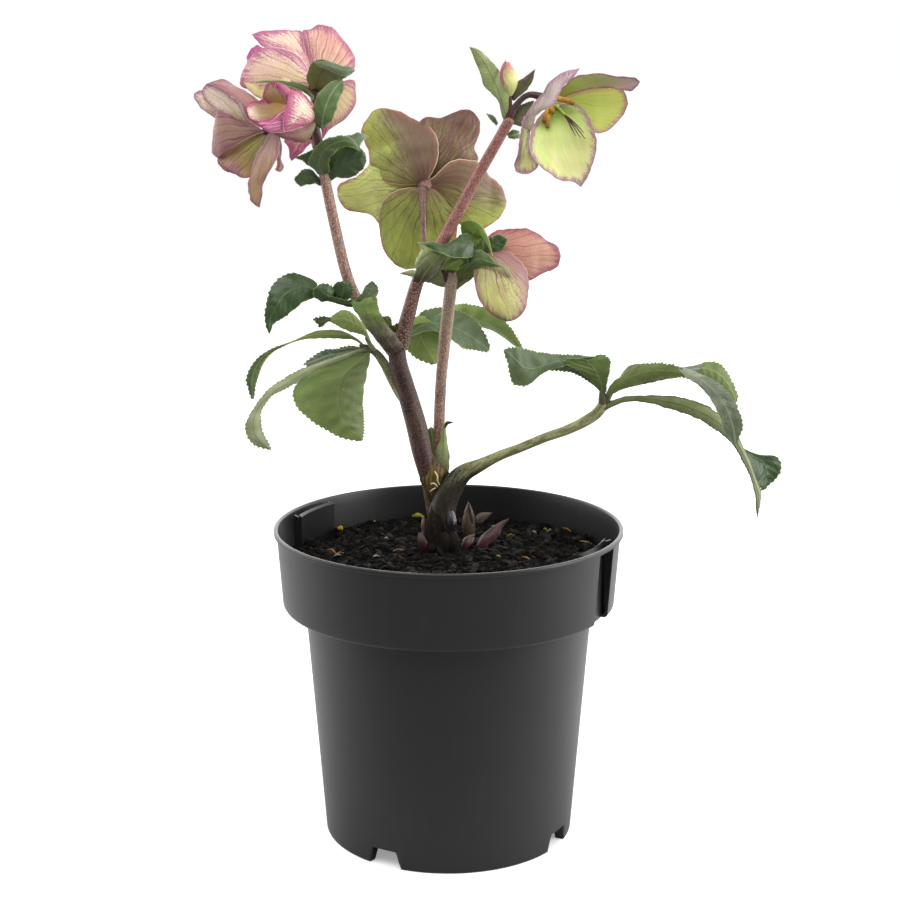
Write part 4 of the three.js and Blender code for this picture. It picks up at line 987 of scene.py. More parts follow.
TOP_FLOWER = [
    [blade("-71 15 408, -78.5 12 417.5, -88 11 423, -96.5 13 427, -100.5 16 430.5, -103 19 433.5",
           "-68.5 16 409, -71 17 417.5, -75 19 426.5, -76.5 22 435, -83.5 23 436, -91.5 22 435, "
           "-98.5 20 435", 0.16, flush=(0.1, 0.35))],
    [blade("-70.5 17 409, -73 15 417.5, -75.5 17 426.5, -76.5 20 434.5, -72.5 22 436.5, -68.5 24 438.5, "
           "-64 25 437.5",
           "-66.5 17 409, -58 17 411, -50 19 414.5, -49 22 420.5, -51 24 424.5, -55.5 25 430.5, "
           "-59.5 26 436", 0.18, flush=(0.0, 0.8), paint=(ROSE_TAN, ROSE_FRONT))],
    [blade("-70.5 12 406, -77.5 9 404, -85.5 6 402, -95.5 4 401.5, -102 5 404.5, -108 8 407.5, "
           "-107.5 10 412.5",
           "-71 13 411, -73.5 10 417, -77.5 7 422.5, -84 5 426, -92 5 427, -99 6 425, -104.5 8 420", 0.22,
           flush=(0.0, 0.3))],
    [blade("-69.5 15 404, -68.5 11 397.5, -67.5 10 390.5, -67 12 384.5, -66.5 14 379.5",
           "-66.5 16 407, -57 16 409, -50 18 410, -48.5 20 404, -49.5 20 397, -53 18 391, -58.5 16 387, "
           "-63 15 384.5", 0.2, flush=(0.1, 0.3), paint=(ROSE_OLIVE, ROSE_FRONT))],
    [blade("-95 12 419.5, -96 13 425.5, -98.5 13 428, -102 13 427, -104 13 424.5",
           "-97 10 416.5, -101.5 11 415.5, -105.5 11 414.5, -105.5 12 419.5, -105 13 422.5", 0.2,
           flush=(0.6, 0.9), paint=(ROSE_DEEP, ROSE_FRONT)),
     blade("-76.5 6 386.5, -82.5 6 382, -86.5 6 379, -83.5 7 375, -83.5 7 371, -82.5 7 368.5",
           "-70.5 8 387.5, -71 8 380, -73.5 8 376, -77 7 373, -80 7 370.5", 0.2, flush=(0.7, 1.0)),
     blade("-90 1 407, -88.5 0 410.5, -85.5 0 412, -82 0 411",
           "-84.5 1 405, -80.5 1 403.5, -80 0 407.5", 0.2, paint=(CREAM, ROSE_FRONT)),
     blade("-95.5 1 399.5, -100.5 0 402.5, -104.5 0 406.5, -106.5 0 409",
           "-94.5 1 405.5, -99 0 407.5, -102.5 0 409.5", 0.2, paint=(CREAM, ROSE_FRONT))],
]
flower("top_flower", TOP_FLOWER, (ROSE_BACK, ROSE_FRONT), "rose_sepal")

# %% [markdown]
# The cup flower is half open and tipped to one side, so its cream backs, its broad magenta rims and a
# strip of its lining show together. A sheet with two finishes gives all three without a second layer.

# %% Cup flower
CUP_BACK = sepal_finish("cream sepal back, magenta rim", "#eceaa8", "#f8eed2", "#a43a70", "#b0507c",
    edge=("#f0e4c8", "#962a60"), blush_mm=8.0, blush_strength=0.95, flushed="#8f6264", vein_strength=0.2,
    streak="#d890b0", streak_strength=0.25)
CUP_FRONT = sepal_finish("cream cup lining, magenta rim", "#b0a040", "#fdecd8", "#b4447c", "#c8889a",
    edge=("#e8b4c0", "#a83468"), blush_mm=3.0, vein_strength=0.1, base_reach=0.6, streak="#e8b8a8",
    streak_strength=0.2)
CUP_RIM = sepal_finish("magenta sepal rim", "#a83468", "#c0508c", "#b23c7c", "#96285c",
    edge=("#f0d0d8", "#a02f68"), blush_mm=2.5, streak="#f6dce0", streak_strength=0.6, vein_strength=0.2)
CUP_UNDER = sepal_finish("mauve sepal back, green base", "#7f9a40", "#a0706c", "#7a3c54", "#7a4a50",
    edge=("#8f9a50", "#7a4054"), blush_mm=3.0, base_reach=0.1, vein_strength=0.25)
CUP_INSIDE = (CUP_FRONT, CUP_BACK)
CUP_FLOWER = [
    [blade("-92 -19 398.5, -94 -23 402, -93 -26 405.5, -92 -28 407.5, -90 -30 409, -86.5 -31 410",
           "-81.5 -20 398, -82 -23 402, -84 -26 405, -86 -28 407, -87 -30 408.5", -0.25, paint=CUP_INSIDE),
     blade("-82 -20 398.5, -82.5 -24 402, -84 -27 405, -86 -29 407.5, -86.5 -31 409, -87 -32 409.5",
           "-80.5 -18 399.5, -80 -21 403, -80 -23 406, -82 -26 408, -84.5 -29 409.5", 0.35)],
    [blade("-82.5 -10 400, -86 -12 401.5, -91 -16 401.5, -94.5 -21 401, -98 -26 400, -100.5 -30 398.5, "
           "-101 -32 396",
           "-82.5 -12 395.5, -86 -14 392.5, -90.5 -18 390, -94.5 -23 389, -97.5 -28 390.5, -100 -31 393",
           -0.35, paint=CUP_INSIDE)],
    [blade("-70 -14 389, -75.5 -22 387, -83 -28 385.5, -83 -31 391, -81.5 -30 396, -81 -27 400, "
           "-81 -24 403.5, -80 -21 406",
           "-68.5 -12 392, -68.5 -12 397, -71 -12 401, -75 -14 404.5", 0.35, flush=(0.0, 0.0))],
    [blade("-82.5 -27 385, -89 -30 385, -93 -32 386.5, -96 -33 389.5",
           "-81.5 -26 396, -85 -29 394, -89 -31 391, -93.5 -32 390.5", 0.3, paint=(CUP_RIM, CUP_FRONT))],
    [blade("-69.5 -12 384, -71.5 -14 380.5, -75 -16 379, -80 -19 380, -85 -23 382, -90.5 -27 385.5",
           "-68.5 -12 391.5, -72 -15 388.5, -76 -19 386.5, -81 -23 385.5, -85.5 -26 385.5", 0.3,
           paint=(CUP_UNDER, CUP_BACK))],
]
flower("cup_flower", CUP_FLOWER, (CUP_BACK, CUP_FRONT), "rose_sepal", ruffle=0.4)

# %% [markdown]
# The side flower hangs, and its sepals have folded lengthways into strips. Each fold is a sheet of its
# own that meets the next at the crease, because one bent sheet would round the crease off.

# %% Side flower
MAUVE_BACK = sepal_finish("mauve-brown sepal back, green base", "#7f9030", "#a88a50", "#84505f", "#5c3a48",
    edge=("#c9b8a0", "#6d3a50"), blush_mm=4.0, blush_strength=0.75, flushed="#a87c7e", base_reach=0.5,
    vein_strength=0.4, streak="#c8a490")
MAUVE_FRONT = sepal_finish("cream sepal face, mauve rim", "#e6e09c", "#f0e4c4", "#a0708f", "#a07088",
    edge=("#e0d8b8", "#7a4560"), blush_mm=2.2, flushed="#c0a0a4", vein_strength=0.3, streak_strength=0.3)
STRAP = sepal_finish("narrow sepal back, mauve over olive", "#a88890", "#b09a68", "#8a5a6c", "#7a5058",
    edge=("#c9b8a0", "#7a4560"), blush_mm=2.2, blush_strength=0.7, flushed="#b89a70", base_reach=0.5)
MAUVE_INSIDE = (MAUVE_FRONT, MAUVE_BACK)
SIDE_FLOWER = [
    [blade("-97 -10 386.5, -103 -15 391.5, -105 -17 397, -110 -16 402, -116.5 -13 406, -124 -9 408.5",
           "-94 -8 388.5, -96 -4 397.5, -102.5 -2 403.5, -108 -1 407, -114 -2 409.5, -120 -5 410", 0.1,
           flush=(0.9, 1.0)),
     blade("-95 -10 385, -104 -13 388.5, -113 -13 392.5, -120 -11 396.5, -125.5 -9 401.5, -126.5 -8 405, "
           "-124 -9 408.5",
           "-97 -10 386.5, -103 -15 391.5, -105 -17 397, -110 -16 402, -116.5 -13 406", -0.1,
           flush=(0.1, 0.3), paint=MAUVE_INSIDE)],
    [blade("-99.5 -6 387, -113 -4 388, -121.5 -3 391.5, -126 -2 394.5, -129.5 0 398, -132 2 401, "
           "-132 3 403.5",
           "-98.5 -5 391, -109.5 -3 396, -120.5 -2 398.5, -125.5 -1 402, -128.5 1 405", -0.2,
           flush=(0.0, 0.2), paint=MAUVE_INSIDE)],
    [blade("-95.5 -11 385.5, -106.5 -13 390, -113.5 -14 394, -117.5 -13 395.5, -120 -12 392, "
           "-121 -10 385.5, -121.5 -9 379, -122.5 -7 373.5",
           "-94 -12 384.5, -101.5 -15 382, -109 -16 377.5, -115 -14 374, -119.5 -10 371", 0.2,
           flush=(0.5, 1.0))],
    [blade("-94 -9 385.5, -102 -9 384, -111 -9 379.5, -118.5 -9 373.5, -119 -11 368.5, -116.5 -12 365.5, "
           "-113.5 -13 364",
           "-91 -12 384.5, -92.5 -14 378, -96 -15 372, -98.5 -14 366.5, -101.5 -13 361.5, -108 -14 362, "
           "-109.5 -13 364.5", 0.18, flush=(-0.7, 0.9))],
    [blade("-92 -13 384, -95 -15 378, -99 -17 371.5, -101.5 -17 365.5, -103 -16 359.5, -103 -15 353, "
           "-101 -15 348.5, -97.5 -15 346",
           "-88 -12 383.5, -86.5 -15 379, -87.5 -19 371.5, -91 -20 365.5, -94.5 -18 359.5, -96 -16 352.5",
           0.25, flush=(0.3, 0.7), paint=(STRAP, MAUVE_FRONT)),
     blade("-89.5 -8 383, -88.5 -8 376, -89 -8 371, -88.5 -9 368, -89.5 -11 365",
           "-87 -8 382.5, -86 -7 376, -86.5 -6 371, -85.5 -8 366.5, -87 -10 364", 0.3, flush=(0.4, 0.7),
           paint=(STRAP, MAUVE_FRONT))],
]
flower("side_flower", SIDE_FLOWER, (MAUVE_BACK, MAUVE_FRONT), "mauve_sepal")

# %% [markdown]
# The back flower spreads like a wheel and turns its face away. Its sepals are the flattest of all, so
# their veins and flush carry the look, and the doming is slight.

# %% Back flower
# The dark mauve-brown flush and the brown base of these backs are partly their own colour and partly painted
# shade, strongest near the heart and towards the neighbouring sepals that shade them.
GREEN_BACK = sepal_finish("yellow-green sepal back, dark veins", "#6a5248", "#b8cc64", "#9c6458", "#5a5a34",
    edge=("#e4e0b8", "#8a4a48"), blush_mm=2.4, blush_strength=0.7, flushed="#643f3c", veins=5.0,
    vein_strength=0.35, base_reach=0.0, streak="#9aa850", streak_strength=0.4, streaky=0.22)
RUSSET_BACK = sepal_finish("mauve-brown sepal back over green", "#727240", "#6e6a3a", "#623c3c", "#4c3838",
    edge=("#dcd8b0", "#8a4a48"), blush_mm=3.0, flushed="#5f3b38", base_reach=0.2, vein_strength=0.35,
    streak="#a89a58")
GREEN_FRONT = sepal_finish("lime sepal face, mauve rim", "#a8b45e", "#c4cb84", "#8d5a6a", "#7d6a5a",
    edge=("#cfcaa4", "#8a4a58"), blush_mm=3.0, vein_strength=0.3)
LIGHT_BACK = sepal_finish("pale yellow-green sepal back", "#8a9058", "#d8e48c", "#a06a58", "#6a6a3c",
    edge=("#e4e0b8", "#8a4a48"), blush_mm=2.0, veins=5.0, flushed="#6c5448", vein_strength=0.3,
    base_reach=0.0, streak="#b4c468")
BACK_FLOWER = [
    [blade("-17 25 355, -26 25 355, -33.5 27 356, -39 30 359, -42 32 365.5, -42.5 34 370.5, -45 35 376.5, "
           "-47 36 383, -44 38 389.5, -40 40 394, -35 41 394.5",
           "-11 25 357.5, -8 24 363, -5.5 25 369, -5.5 27 375, -6.5 29 380.5, -10 32 385, -15.5 34 388, "
           "-22 36 390.5, -28 39 393.5", 0.2, flush=(1.0, 0.5, 0.55, 0.1))],
    [blade("-11 25 357, -6.5 24 360.5, -1 25 366, 5.5 27 368.5, 11.5 30 367.5, 17 33 365.5, 20.5 35 361, "
           "22.5 36 358.5, 26.5 37 356, 29.5 38 352, 31.5 38 345.5",
           "-10 25 354, -4 26 346.5, 2 28 338.5, 8 30 331.5, 14.5 33 329.5, 20.5 35 331.5, 25.5 36 334, "
           "29 37 337, 31 38 341", 0.2, flush=(1.0, 0.5, -0.5, -0.25))],
    [blade("-17 25 353.5, -24 25 353, -30.5 26 350.5, -35 27 346, -37 29 340, -37.5 31 333, "
           "-37.5 33 324.5, -34.5 35 317, -30.5 37 312, -23.5 39 307.5",
           "-10 25 353, -4.5 25 351.5, 0.5 26 346.5, 4 28 339, 5 31 330, 2.5 34 320, -4 36 312.5, "
           "-13 38 308.5", 0.22, flush=(0.7, -0.25, 0.15, 0.0))],
    [blade("-14.5 29 356.5, -15.5 29 368, -17 31 378.5, -16.5 34 386.5, -11.5 37 390, -4.5 38 390, "
           "1 40 392, 7 41 394",
           "-9 29 356, -0.5 29 359.5, 10.5 31 363.5, 16.5 34 367.5, 14 36 373, 16 38 379, 17.5 39 384.5, "
           "16 40 390, 11.5 41 393.5", 0.18, flush=(0.5, 1.0), paint=(RUSSET_BACK, GREEN_FRONT))],
    [blade("-15.5 29 355.5, -25 30 359.5, -33.5 31 366, -40.5 32 368.5, -44.5 33 363.5, -49.5 35 358.5, "
           "-55.5 36 356.5, -59.5 37 353.5, -60.5 38 348",
           "-15.5 29 352.5, -25 30 343, -32.5 31 334.5, -37 32 332.5, -41.5 33 337.5, -46.5 35 338.5, "
           "-53.5 36 340, -58 37 343.5", 0.18, flush=(0.3, 0.0), paint=(LIGHT_BACK, GREEN_FRONT))],
]
flower("back_flower", BACK_FLOWER, (GREEN_BACK, GREEN_FRONT), "green_sepal", ruffle=1.0, quilt=0.3,
    columns=33)

# %% [markdown]
# The low flower peeps out from behind the bracts, and only three of its sepals are there to see. They
# are made the same way as the others, at the depth where the bracts cover their feet.

# %% Low flower
SALMON_BACK = sepal_finish("salmon sepal back, maroon veins", "#b47c6c", "#bc9478", "#8a4a62", "#883c52",
    edge=("#d8b8a0", "#8a3c58"), blush_mm=3.5, flushed="#a87468", vein_strength=0.45, streak="#c08a84")
LOW_BACK = sepal_finish("yellow-green sepal back, mauve edge", "#846058", "#cdd284", "#8c5a66", "#80443f",
    edge=("#c4b490", "#7d4256"), blush_mm=3.5, flushed="#90646a", veins=4.0, base_reach=0.0,
    vein_strength=0.4, streak="#b0b060")
LOW_FLOWER = [
    [blade("14.5 2 318, 13 -4 312.5, 13.5 -8 306, 15 -11 300, 17.5 -12 295.5, 21 -12 291.5, 25.5 -11 288, "
           "30.5 -9 286",
           "23 4 321, 29 2 322, 33.5 0 320.5, 37.5 -1 317, 41 -2 312.5, 42.5 -3 306.5, 42.5 -4 301, "
           "41 -6 294.5, 38.5 -7 289.5, 35 -8 286.5", 0.3, flush=(0.9, -0.1, 0.5, 0.35),
           paint=(LOW_BACK, GREEN_FRONT))],
    [blade("15.5 6 322, 20 6 328.5, 24.5 8 332, 30 9 333, 36 10 333, 41.5 11 332.5, 47.5 12 330, "
           "53.5 13 326, 58.5 13 323, 60 13 318",
           "15.5 6 317.5, 24.5 4 310.5, 33.5 4 305, 43.5 6 305.5, 47 8 307.5, 50.5 9 309.5, 55 11 310, "
           "58 12 312, 59.5 12 315", 0.25, flush=(0.55, 0.15))],
    [blade("15.5 8 320.5, 22 12 321.5, 29 16 320, 34.5 19 316, 37.5 20 312",
           "15.5 8 316.5, 20.5 12 309.5, 26 16 304.5, 32 19 304", 0.25, flush=(0.4, 0.3))],
]
flower("low_flower", LOW_FLOWER, (SALMON_BACK, GREEN_FRONT), "mauve_sepal", ruffle=0.6)

# %% [markdown]
# The open flower is past its best: a flower turns lime as it ages. It faces the viewer, so here it is
# the inside of the sepals that carries the veins, round the heart that is made further down.

# %% Open flower
LIME_FRONT = sepal_finish("lime-cream sepal face, purple rim", "#a4c656", "#e0daa0", "#8f5480", "#a8b86a",
    edge=("#b890a0", "#8a5070"), blush_mm=3.0, vein_strength=0.12, streak="#cfe088", streak_strength=0.35,
    net_strength=0.05, base_reach=0.45, gloss=0.3)
LIME_SIDE = sepal_finish("lime sepal face, red rim", "#96ac4a", "#b4ba60", "#985f74", "#98a050",
    edge=("#b88a80", "#8a4458"), blush_mm=2.6, vein_strength=0.15, streak="#b8c860", streak_strength=0.35,
    net_strength=0.08, base_reach=0.45, gloss=0.3)
LIME_BACK = sepal_finish("mauve-white sepal back, purple rim", "#ccd48c", "#ece4d0", "#a07890", "#a88898",
    edge=("#c8b0b8", "#7d4670"), blush_mm=2.4, flushed="#dcc4cc", vein_strength=0.2, net_strength=0.2,
    streak="#b894a4", streak_strength=0.3)
FOLD = sepal_finish("green sepal fold, mauve tip", "#a4bc54", "#b0b868", "#a07080", "#8a8a5a",
    edge=("#9a5a50", "#8a4a50"), blush_mm=1.2, flushed="#b898a4", vein_strength=0.15, streak="#a8b860")
OPEN_FLOWER = [
    [blade("50 -15 395.5, 46.5 -20 393, 42.5 -26 387.5, 41 -30 381.5, 40.5 -31 377.5, 42 -32 372.5, "
           "45.5 -32 369, 50.5 -32 365, 56 -32 361.5, 63 -32 360.5, 67 -32 358",
           "57 -15 398.5, 64 -17 399, 68 -20 397, 71 -23 392.5, 73 -26 387, 74.5 -28 381.5, 74.5 -29 377, "
           "73.5 -30 371.5, 71.5 -31 365.5", -0.22, ruffle=0.7)],
    [blade("55 -11 399.5, 60 -11 403, 67 -12 405.5, 74.5 -12 407, 82.5 -12 407, 88 -12 406.5, "
           "90.5 -11 403.5, 92 -10 398.5",
           "58 -12 396.5, 65 -12 394.5, 70 -13 390, 72.5 -15 385.5, 75.5 -16 384, 79.5 -15 384.5, "
           "83 -14 386, 87 -12 390, 90 -11 393.5", -0.2, paint=(LIME_SIDE, LIME_BACK))],
    [blade("54 -12 401, 56.5 -18 405, 59.5 -23 409, 63.5 -26 412.5, 70 -28 413.5, 76.5 -29 413.5, "
           "82 -30 412.5, 88.5 -31 412.5, 93 -32 412, 95.5 -32 410",
           "57 -13 401, 62 -18 403.5, 69 -21 405.5, 76.5 -23 406.5, 82.5 -26 407, 86.5 -28 406, "
           # A hellebore leaf is tough and evergreen. Its upper side is dark, with pale veins and a waxy
           # gloss, and its underside is matt and paler, with a raised reddish midrib. Where the gloss turns a
           # leaf grey-blue or silver under a soft light, that sheen is painted into the colour of finishes of
           # their own, as is the light that shines through a leaf. The teeth are yellow-green, because the
           # margin is thickened there.
           "91.5 -30 405.5, 94 -31 407.5", -0.1, flush=(-0.5, 0.9), paint=(FOLD, LIME_BACK))],
    [blade("41 -18 385, 38 -21 387.5, 39 -27 393.5, 42.5 -31 399.5, 47 -34 404.5, 50 -36 409.5, "
           "54.5 -37 413.5, 59.5 -37 415.5, 65 -36 416.5",
           "43.5 -20 386.5, 43.5 -25 391.5, 46.5 -29 395.5, 51.5 -31 397.5, 54.5 -32 402, 57.5 -34 407.5, "
           "61.5 -36 411.5", 0.35, flush=(0.3, 0.9), paint=(LIME_BACK, LIME_FRONT))],
    [blade("38.5 -14 392.5, 37 -17 386.5, 36 -19 380.5, 35.5 -19 374.5, 34 -18 368.5, 34.5 -18 365, "
           "37.5 -18 363.5",
           "44.5 -15 391.5, 42 -20 386, 41 -22 380, 42 -22 374, 45.5 -20 368.5, 44 -19 365.5, 41 -18 363.5",
           -0.25, flush=(0.0, 0.1))],
]
flower("open_flower", OPEN_FLOWER, (LIME_FRONT, LIME_BACK), "lime_sepal", ruffle=0.6, columns=31)

# %% [markdown]
# ## Leaves
#
# The basal leaf spreads four leaflets from the end of its petiole, the stem leaf on the left has five,
# and a small leaf stands behind the stems. Leaflets arch, fold along the midrib and turn over near the
# tip, so both their finishes are seen, and a leaflet that turns over is made of a sheet for each side.
# The saw teeth point forward, one about every two millimetres.

# %% Leaf finishes
LEAF_TOP = leaf_finish("evergreen leaf, upper side", "#4f5f3e", "#415230", "#6c7a58", "#66764c", "#8a9850",
    roughness=0.42, gloss=0.32)
LEAF_UNDER = leaf_finish("evergreen leaf, underside", "#6c7c42", "#5c6c36", "#84925c", "#7a7c4c", "#8a985c",
    vein_strength=0.18, roughness=0.55, gloss=0.3, pitch_mm=10.0)
# Its flushed colour is a painted highlight, laid where a sheet turns towards the light.
LEAF_LIT = leaf_finish("evergreen leaf, light shining through", "#98ac66", "#8a9f58", "#a8b880", "#b4ba80",
    "#7f8f50", vein_strength=0.12, roughness=0.55, gloss=0.3, pitch_mm=10.0, flushed="#b4c490",
    midrib_strength=0.6)
LEAF_PALE = leaf_finish("evergreen leaf, pale underside", "#9aa27e", "#7f885c", "#a8b088", "#6a6444",
    "#4c4634", vein_strength=0.18, roughness=0.55, gloss=0.35, pitch_mm=10.0, midrib_strength=0.3)
LEAF_OLIVE = leaf_finish("evergreen leaf, olive underside", "#7a8558", "#5f6b3c", "#98a070", "#5c5438",
    "#3c3226", vein_strength=0.18, roughness=0.55, gloss=0.3, pitch_mm=10.0, midrib_strength=0.4,
    edge_mm=1.1, flushed="#9aa27c")
LEAF_FRESH = leaf_finish("evergreen leaf, fresh underside", "#62743c", "#566632", "#7c8c50", "#7f8a50",
    "#8a9a54", vein_strength=0.15, roughness=0.5, gloss=0.35, pitch_mm=9.0)
# The next two finishes are lit copies of the upper side: their grey and their silver are a painted sheen, the
# waxy gloss seen at a slant painted into the colour.
LEAF_PAINTED_GREY_SHEEN = leaf_finish("leaf with a grey sheen painted into its colour", "#536048", "#414e38", "#75826a", "#7f8a68", "#7f8a64",
    roughness=0.36, gloss=0.5)
LEAF_PAINTED_SILVER_SHEEN = leaf_finish("leaf with a silver sheen painted into its colour", "#a4a894", "#76836a", "#5c6850", "#98a488",
    "#8f9a68", vein_strength=0.4, roughness=0.38, gloss=0.5, pitch_mm=5.0, flushed="#5a684a")
DARK_TOP = leaf_finish("young leaf, upper side", "#3a5028", "#2a3c1c", "#587040", "#44602c", "#7f9450",
    roughness=0.3, gloss=0.4, vein_strength=0.1)
LEAF_SIDES = (LEAF_TOP, LEAF_UNDER)
print("nine leaf finishes")

# %% [markdown]
# The basal leaf reaches out to the right on its long petiole and splits into four leaflets: one folded
# upright, one arched, one reaching out and one trailing below the others. The sheets of a leaflet meet
# at its midrib, where a folded leaf shows both of its sides.

# %% Leaflets of the basal leaf
LEAF_HABIT = dict(ruffle=0.5, quilt=0.3, veins=8, pinnate=True, tooth=1.0, pitch=2.4, thick=0.5, dents=0.35)
FOLDED_LEAFLET = [
    blade("81 0 265.5, 68.5 -7 267.5, 56 -13 269, 45 -19 271.5, 36 -24 274, 28.5 -28 274",
          "81 -2 263, 68.5 -9 264, 58.5 -14 262.5, 52 -18 261, 48 -20 259, 43.5 -23 256, 38.5 -26 254.5, "
          "34 -28 256.5, 32 -28 261.5, 30.5 -28 268", 0.15),
    blade("81.5 -2 246, 75 -8 254.5, 68.5 -12 260.5, 61 -14 265, 66.5 -14 267, 75.5 -12 267.5",
          "84.5 -2 247, 85 -5 256.5, 85.5 -8 264, 82.5 -10 267.5", 0.15, paint=(LEAF_FRESH, LEAF_TOP)),
    blade("81 0 247, 74.5 -3 253, 66 -7 258.5, 59 -10 260, 53 -12 260.5",
          "81 0 250.5, 75.5 -4 256, 68.5 -8 261.5, 61.5 -11 263.5", 0.1),
]
ARCHED_LEAFLET = [
    blade("84.5 -2 247, 87 -5 252, 91 -8 256, 96 -12 260.5, 101 -16 263.5, 106 -20 265.5, 111.5 -26 266, "
          "116.5 -31 266, 120.5 -34 264.5, 125.5 -37 260",
          "85.5 -4 242, 87.5 -6 246.5, 92 -10 250, 98.5 -15 253.5, 105.5 -21 257, 112.5 -27 259.5, "
          "120.5 -34 261", 0.3, paint=(LEAF_UNDER, LEAF_TOP)),
    # This sheet's painted silver sheen fades, through the flush, to a darker green towards the tip.
    blade("118.5 -33 265, 121 -36 262, 125 -39 259.5, 130 -41 255.5, 134 -43 251, 137 -45 246, "
          "139 -46 241.5, 141 -47 235.5, 144.5 -47 231, 147.5 -47 227",
          "120.5 -32 265.5, 124.5 -36 265, 129 -40 263.5, 134 -43 261.5, 139.5 -46 258, 143.5 -48 253.5, "
          "146.5 -49 249, 148.5 -49 244, 150 -49 238, 148.5 -48 232", 0.15, flush=(-0.4, 1.0),
          paint=(LEAF_PAINTED_SILVER_SHEEN, LEAF_UNDER), tooth=(0.1, 0.8)),
    blade("87 -6 246.5, 95 -11 251, 103.5 -17 254, 111.5 -23 257, 122 -32 261",
          "88.5 -2 251, 92 -4 257, 95.5 -8 262, 101 -12 264, 108.5 -18 264.5", -0.1, tip=[122, -30, 263.5],
          paint=(LEAF_PAINTED_SILVER_SHEEN, LEAF_UNDER), tooth=0),
]
REACHING_LEAFLET = [
    blade("132 28 253.5, 137 30 251.5, 142.5 32 248.5, 148.5 34 245, 153.5 36 241, 157 38 236, 160 39 232.5",
          "133 30 255, 138 32 256, 142.5 34 257, 147 36 256, 151.5 37 254, 155 38 250.5, 157.5 39 246, "
          "160 40 240.5, 161.5 40 236", 0.2, paint=(LEAF_FRESH, LEAF_TOP)),
    blade("85 1 244, 95 5 247.5, 109 12 251, 122 19 252, 132.5 26 252, 137 29 251.5",
          "86 2 247, 95 8 254, 109.5 15 257, 122 22 256, 131.5 27 255.5", 0.2, tip=[140, 31, 256.5],
          paint=(LEAF_PAINTED_GREY_SHEEN, LEAF_UNDER), tooth=0),
]
TRAILING_LEAFLET = [
    blade("85.5 -3 241.5, 89.5 -5 243.5, 95 -7 245.5, 104.5 -9 246.5, 115 -11 246.5, 122.5 -12 246, "
          "131 -13 243.5, 138 -14 240.5, 145 -15 236, 150.5 -15 230, 154.5 -15 223.5, 158 -15 217, "
          "161 -15 210.5, 163.5 -14 204, 166 -14 198, 167.5 -13 193.5, 167 -13 188, 166 -12 179.5",
          "85 -5 238, 91.5 -7 241.5, 99 -9 243, 107 -11 242.5, 115 -12 240.5, 122.5 -13 238.5, "
          "130.5 -14 235.5, 137 -15 232, 144 -16 227.5, 149.5 -16 222.5, 153.5 -16 217, 157.5 -16 210, "
          "161 -15 203, 163 -15 196.5, 164.5 -14 191.5, 165 -13 185.5", 0.35, flush=(-0.9, 1.6),
          paint=(LEAF_OLIVE, LEAF_TOP), tooth=0.3),
    blade("156.5 -13 218.5, 159 -12 214.5, 161.5 -12 209.5, 163.5 -12 204.5, 165.5 -11 199.5, 169 -10 194.5",
          "157 -13 218.5, 162.5 -10 215.5, 168.5 -8 213.5, 174 -6 213, 176.5 -5 211.5, 179 -5 207.5, "
          "178 -6 203.5, 175 -7 199.5, 171.5 -9 197", -0.15, paint=(DARK_TOP, LEAF_UNDER)),
]
BASAL_LEAFLETS = [FOLDED_LEAFLET, ARCHED_LEAFLET, REACHING_LEAFLET, TRAILING_LEAFLET]
for number, leaflet in enumerate(BASAL_LEAFLETS, start=1):
    sheets_piece(f"basal_leaflet_{number}", leaflet, LEAF_SIDES, "leaf", 100 + 10 * number, **LEAF_HABIT)

# %% [markdown]
# The stem leaf has five leaflets that curl, fold and hang, each in its own way. Where a leaflet shows
# its underside beside its upper side, it is drawn as two or three sheets that share an edge.

# %% The stem leaf
CURLED_LEAFLET = [
    blade("-71 -7 298, -75.5 -9 296.5, -80.5 -11 293, -87 -12 288, -91.5 -13 285.5, -93 -14 282, "
          "-94 -14 280",
          "-69 -4 305, -73 -2 308, -78.5 -2 310, -84.5 -4 310, -90 -7 307.5, -93.5 -10 302.5, "
          "-95 -12 296.5, -96 -13 290.5, -95.5 -14 284.5", 0.22),
    blade("-45.5 -4 292.5, -53.5 -6 293.5, -59.5 -7 295.5, -65.5 -7 297, -72 -7 298.5",
          "-45.5 -5 297, -54.5 -8 297, -59.5 -9 298.5, -66.5 -9 299.5", 0.2, tip=[-71.5, -8, 303]),
    blade("-62.5 -6 296, -67.5 -9 297.5, -71 -10 299.5, -71 -11 302.5, -68.5 -11 305",
          "-60.5 -4 297, -60.5 -7 302.5, -62.5 -9 305, -65 -10 306", 0.5),
    blade("-59.5 -3 296, -62 -6 300.5, -60.5 -8 304.5, -58 -9 307, -55 -8 307",
          "-53 -2 295.5, -50.5 -5 300, -50.5 -7 304, -52 -8 306", 0.5),
]
SMALL_LEAFLET = [
    blade("-41 10 270, -45.5 9 275.5, -52 8 277.5, -58 7 280.5, -64 6 284",
          "-42.5 12 272, -46 12 282, -52.5 11 288, -57.5 9 289, -62.5 7 286", 0.25, tooth=0.3,
          paint=(LEAF_LIT, LEAF_TOP)),
    blade("-63 6 284, -65.5 5 283, -68.5 5 281, -70.5 5 283.5, -72.5 5 285",
          "-63 7 286, -67.5 6 286", 0.1),
]
